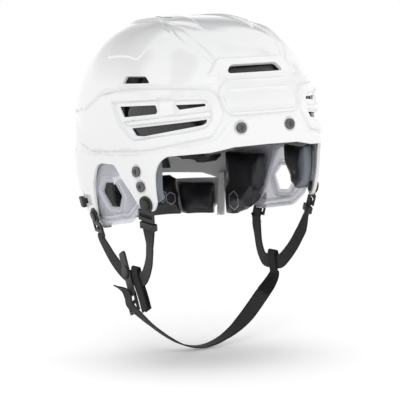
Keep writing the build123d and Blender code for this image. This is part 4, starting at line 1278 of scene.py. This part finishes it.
side_line = [
    above_seat(stud_place, clip_length - clip_lap, web_height),
    above_seat(stud_place, keeper_start + keeper_length, web_height),
    above_seat(stud_place, keeper_start + keeper_length + 2 * keeper_wall, web_height),
    *in_space(side_shares),
    above_seat(rivet_place, hook_length + 2 * keeper_wall, web_height),
    above_seat(rivet_place, hook_length, web_height),
    above_seat(rivet_place, hook_length - clip_lap, web_height),
]
side_faces = [-stud_place[1]] * 3 + [Vector((1, 0, 0))] * len(side_shares) + [-rivet_place[1]] * 3
side_ways = width_ways(side_line, side_faces)
# Points of the line: each leg's top point, at its clip or hook, and its low one
front_top, front_low, at_yoke, rear_low, rear_top = 2, 6, 8, 10, 14
strap_steps = 5
split = at_yoke * strap_steps
# The left strap's rear leg hangs further forward, by these millimetres at three of its points
left_forward = {10: 5.0, 11: 9.0, 12: 8.0}
for side_name, mirror in (("right", 1), ("left", -1)):
    turned = Vector((mirror, 1, 1))
    forward = left_forward if mirror < 0 else {}
    places = [
        point * turned - Vector((0, forward.get(index, 0.0), 0)) for index, point in enumerate(side_line)
    ]
    line = smooth_line(places, strap_steps)
    ways = smooth_ways([way * turned for way in side_ways], strap_steps)
    legs = {
        "front": (slice(0, split + 1), f"front_clip_{side_name}", places[front_top], places[front_low]),
        "rear": (slice(split, None), f"rear_hook_{side_name}", places[rear_top], places[rear_low]),
    }
    for leg, (rows, clip, upper, lower) in legs.items():
        strap = along_line(
            f"side_webbing_{leg}_{side_name}", line[rows], ways[rows], web_section(web_width, web), webbing
        )
        upper / 1000
        lower / 1000
        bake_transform(strap)
        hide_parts(f"side_strap_{side_name}")

# Yokes: short lengths of the same webbing folded over the side straps and sewn to themselves.
# The right one ends at the slider, and the left one is sewn to the inner face of the chin strap.
yoke_x = 0.75 * half_width
layer, layers_apart, right_yoke_width = 1.5, 1.8, 14.0
frontward = Vector((0, -1, 0))
tail_shares = ((0.75, -0.142, -0.82), (0.728, -0.145, -0.86), (0.68, -0.14, -0.91), (0.615, -0.136, -0.96))
tail = in_space(tail_shares)
tail_ways = [Vector(way) for way in ((0, -1, 0), (0.2, -1, -0.1), (0.4, -0.85, -0.3), (0.55, -0.7, -0.45))]


def folded(side, run):
    """Webbing up the inner face, over the side strap and down the outer face, by places of the side view."""
    inner = [Vector((side * (yoke_x - layers_apart), y, z)) for y, z in run]
    outer = [Vector((side * (yoke_x + layers_apart), y, z)) for y, z in reversed(run)]
    y, top = run[-1]
    fold = [
        Vector((side * (yoke_x + step * layers_apart), y, top + 3.4 - abs(step))) for step in (-0.7, 0, 0.7)
    ]
    return inner + fold + outer


sewn = []
for index, (place, way) in enumerate(zip(tail, tail_ways)):
    ahead = tail[min(index + 1, len(tail) - 1)] - tail[max(index - 1, 0)]
    inward = ahead.cross(way).normalized()
    sewn.append(place - inward * math.copysign(layer, inward.x))
right_fold = folded(-1, ((-37.0, -142.0), (-31.0, -130.0), (-24.0, -119.0), (-19.0, -111.0), (-17.5, -103.4)))
left_fold = folded(1, ((-19.3, -115.0), (-18.7, -108.0), (-18.5, -103.4)))
loops = {
    "yoke_right": (right_fold, [frontward] * len(right_fold), right_yoke_width),
    "yoke_left": (
        [*reversed(sewn), *left_fold], [*reversed(tail_ways), *[frontward] * len(left_fold)], web_width
    ),
}
for name, (points, ways, width) in loops.items():
    line = smooth_line(points, 5)
    yoke = along_line(f"folded_{name}", line, smooth_ways(ways, 5), web_section(width, web), doubled_webbing)
    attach(yoke, "helmet")
    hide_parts(name)

# Snap tab: a stiff moulded tab on the right that closes the chin strap on the yoke's snap stud.
# It peels off outwards, and has grip ribs across its upper half.
tab_gap = 2.8
tab_face = -yoke_x - tab_gap
tab_bottom = Vector((tab_face, -0.101 * front_reach, -0.866 * crown_height))
tab_top = Vector((tab_face, 0.038 * rear_reach, -0.584 * crown_height))
tab_way = (tab_top - tab_bottom).normalized()
tab_length = (tab_top - tab_bottom).length
tab_across = Vector((1, 0, 0)).cross(tab_way).normalized()
tab_wall, tab_width = 2.4, 13.0
snap_along = 0.54 * tab_length
tab_round, tab_end_share = 4, 0.62
grip_height, grip_pitch, grip_start = 0.35, 3.2, snap_along + 8
tab_points = []
tab_section = web_section(tab_width, tab_wall)
tab_rows = 61
for along in np.linspace(0, 1, tab_rows) * tab_length:
    narrow = 1.0
    for end in (along, tab_length - along):
        if end < tab_round:
            curve = math.sqrt(max(0.0, 1 - (1 - end / tab_round) ** 2))
            narrow = min(narrow, tab_end_share + (1 - tab_end_share) * curve)
    grip = grip_height * max(0.0, math.sin(along * 2 * math.pi / grip_pitch)) if along > grip_start else 0.0
    for across, proud in tab_section:
        outward = Vector((proud + tab_wall / 2 + (grip if proud > 0 else 0), 0, 0))
        tab_points.append(tab_bottom + tab_way * along + tab_across * across * narrow - outward)
tab_faces = ring_faces(tab_rows, len(tab_section), capped=True)
tab = new_piece("ribbed_snap_tab", tab_points, tab_faces, black_plastic)
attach(tab, "snap_tab")
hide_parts("snap_tab")

# Chin strap: webbing from its loose end over the slider, hanging under the chin, to the left yoke.
# The loose end stands off outwards.
loose_line = (
    (-98.5, -7.0, -119.0), (-94.0, -7.0, -121.0), (-89.3, -7.5, -124.8), (-87.3, -9.0, -131.0),
    (-86.6, -11.5, -139.0),
)
hanging_shares = (
    (-0.735, -0.115, -1.0), (-0.62, -0.13, -1.085), (-0.446, -0.135, -1.186), (-0.294, -0.135, -1.25),
    (-0.135, -0.135, -1.28), (0, -0.135, -1.274), (0.138, -0.135, -1.242), (0.272, -0.135, -1.191),
    (0.4, -0.135, -1.12), (0.5, -0.135, -1.049), (0.575, -0.136, -0.99),
)
chin_line = [*(Vector(place) for place in loose_line), *in_space(hanging_shares), *reversed(tail)]
chin_ways = [Vector(way) for way in (
    (0, -1, 0), (0, -1, 0.1), (0, -0.95, 0.25), (0, -0.9, 0.4), (0, -0.9, 0.35), (0, -0.95, 0.2),
    (0, -1, 0), (0, -1, 0), (0, -1, 0), (0, -1, 0), (0, -1, 0), (0.05, -1, -0.05), (0.2, -0.95, -0.25),
    (0.45, -0.75, -0.5), (0.65, -0.5, -0.6), (0.66, -0.48, -0.58),
)] + tail_ways[::-1]
line = smooth_line(chin_line, 6)
chin = along_line("chin_webbing", line, smooth_ways(chin_ways, 6), web_section(web_width, web), webbing)
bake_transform(chin)
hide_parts("chin_strap")
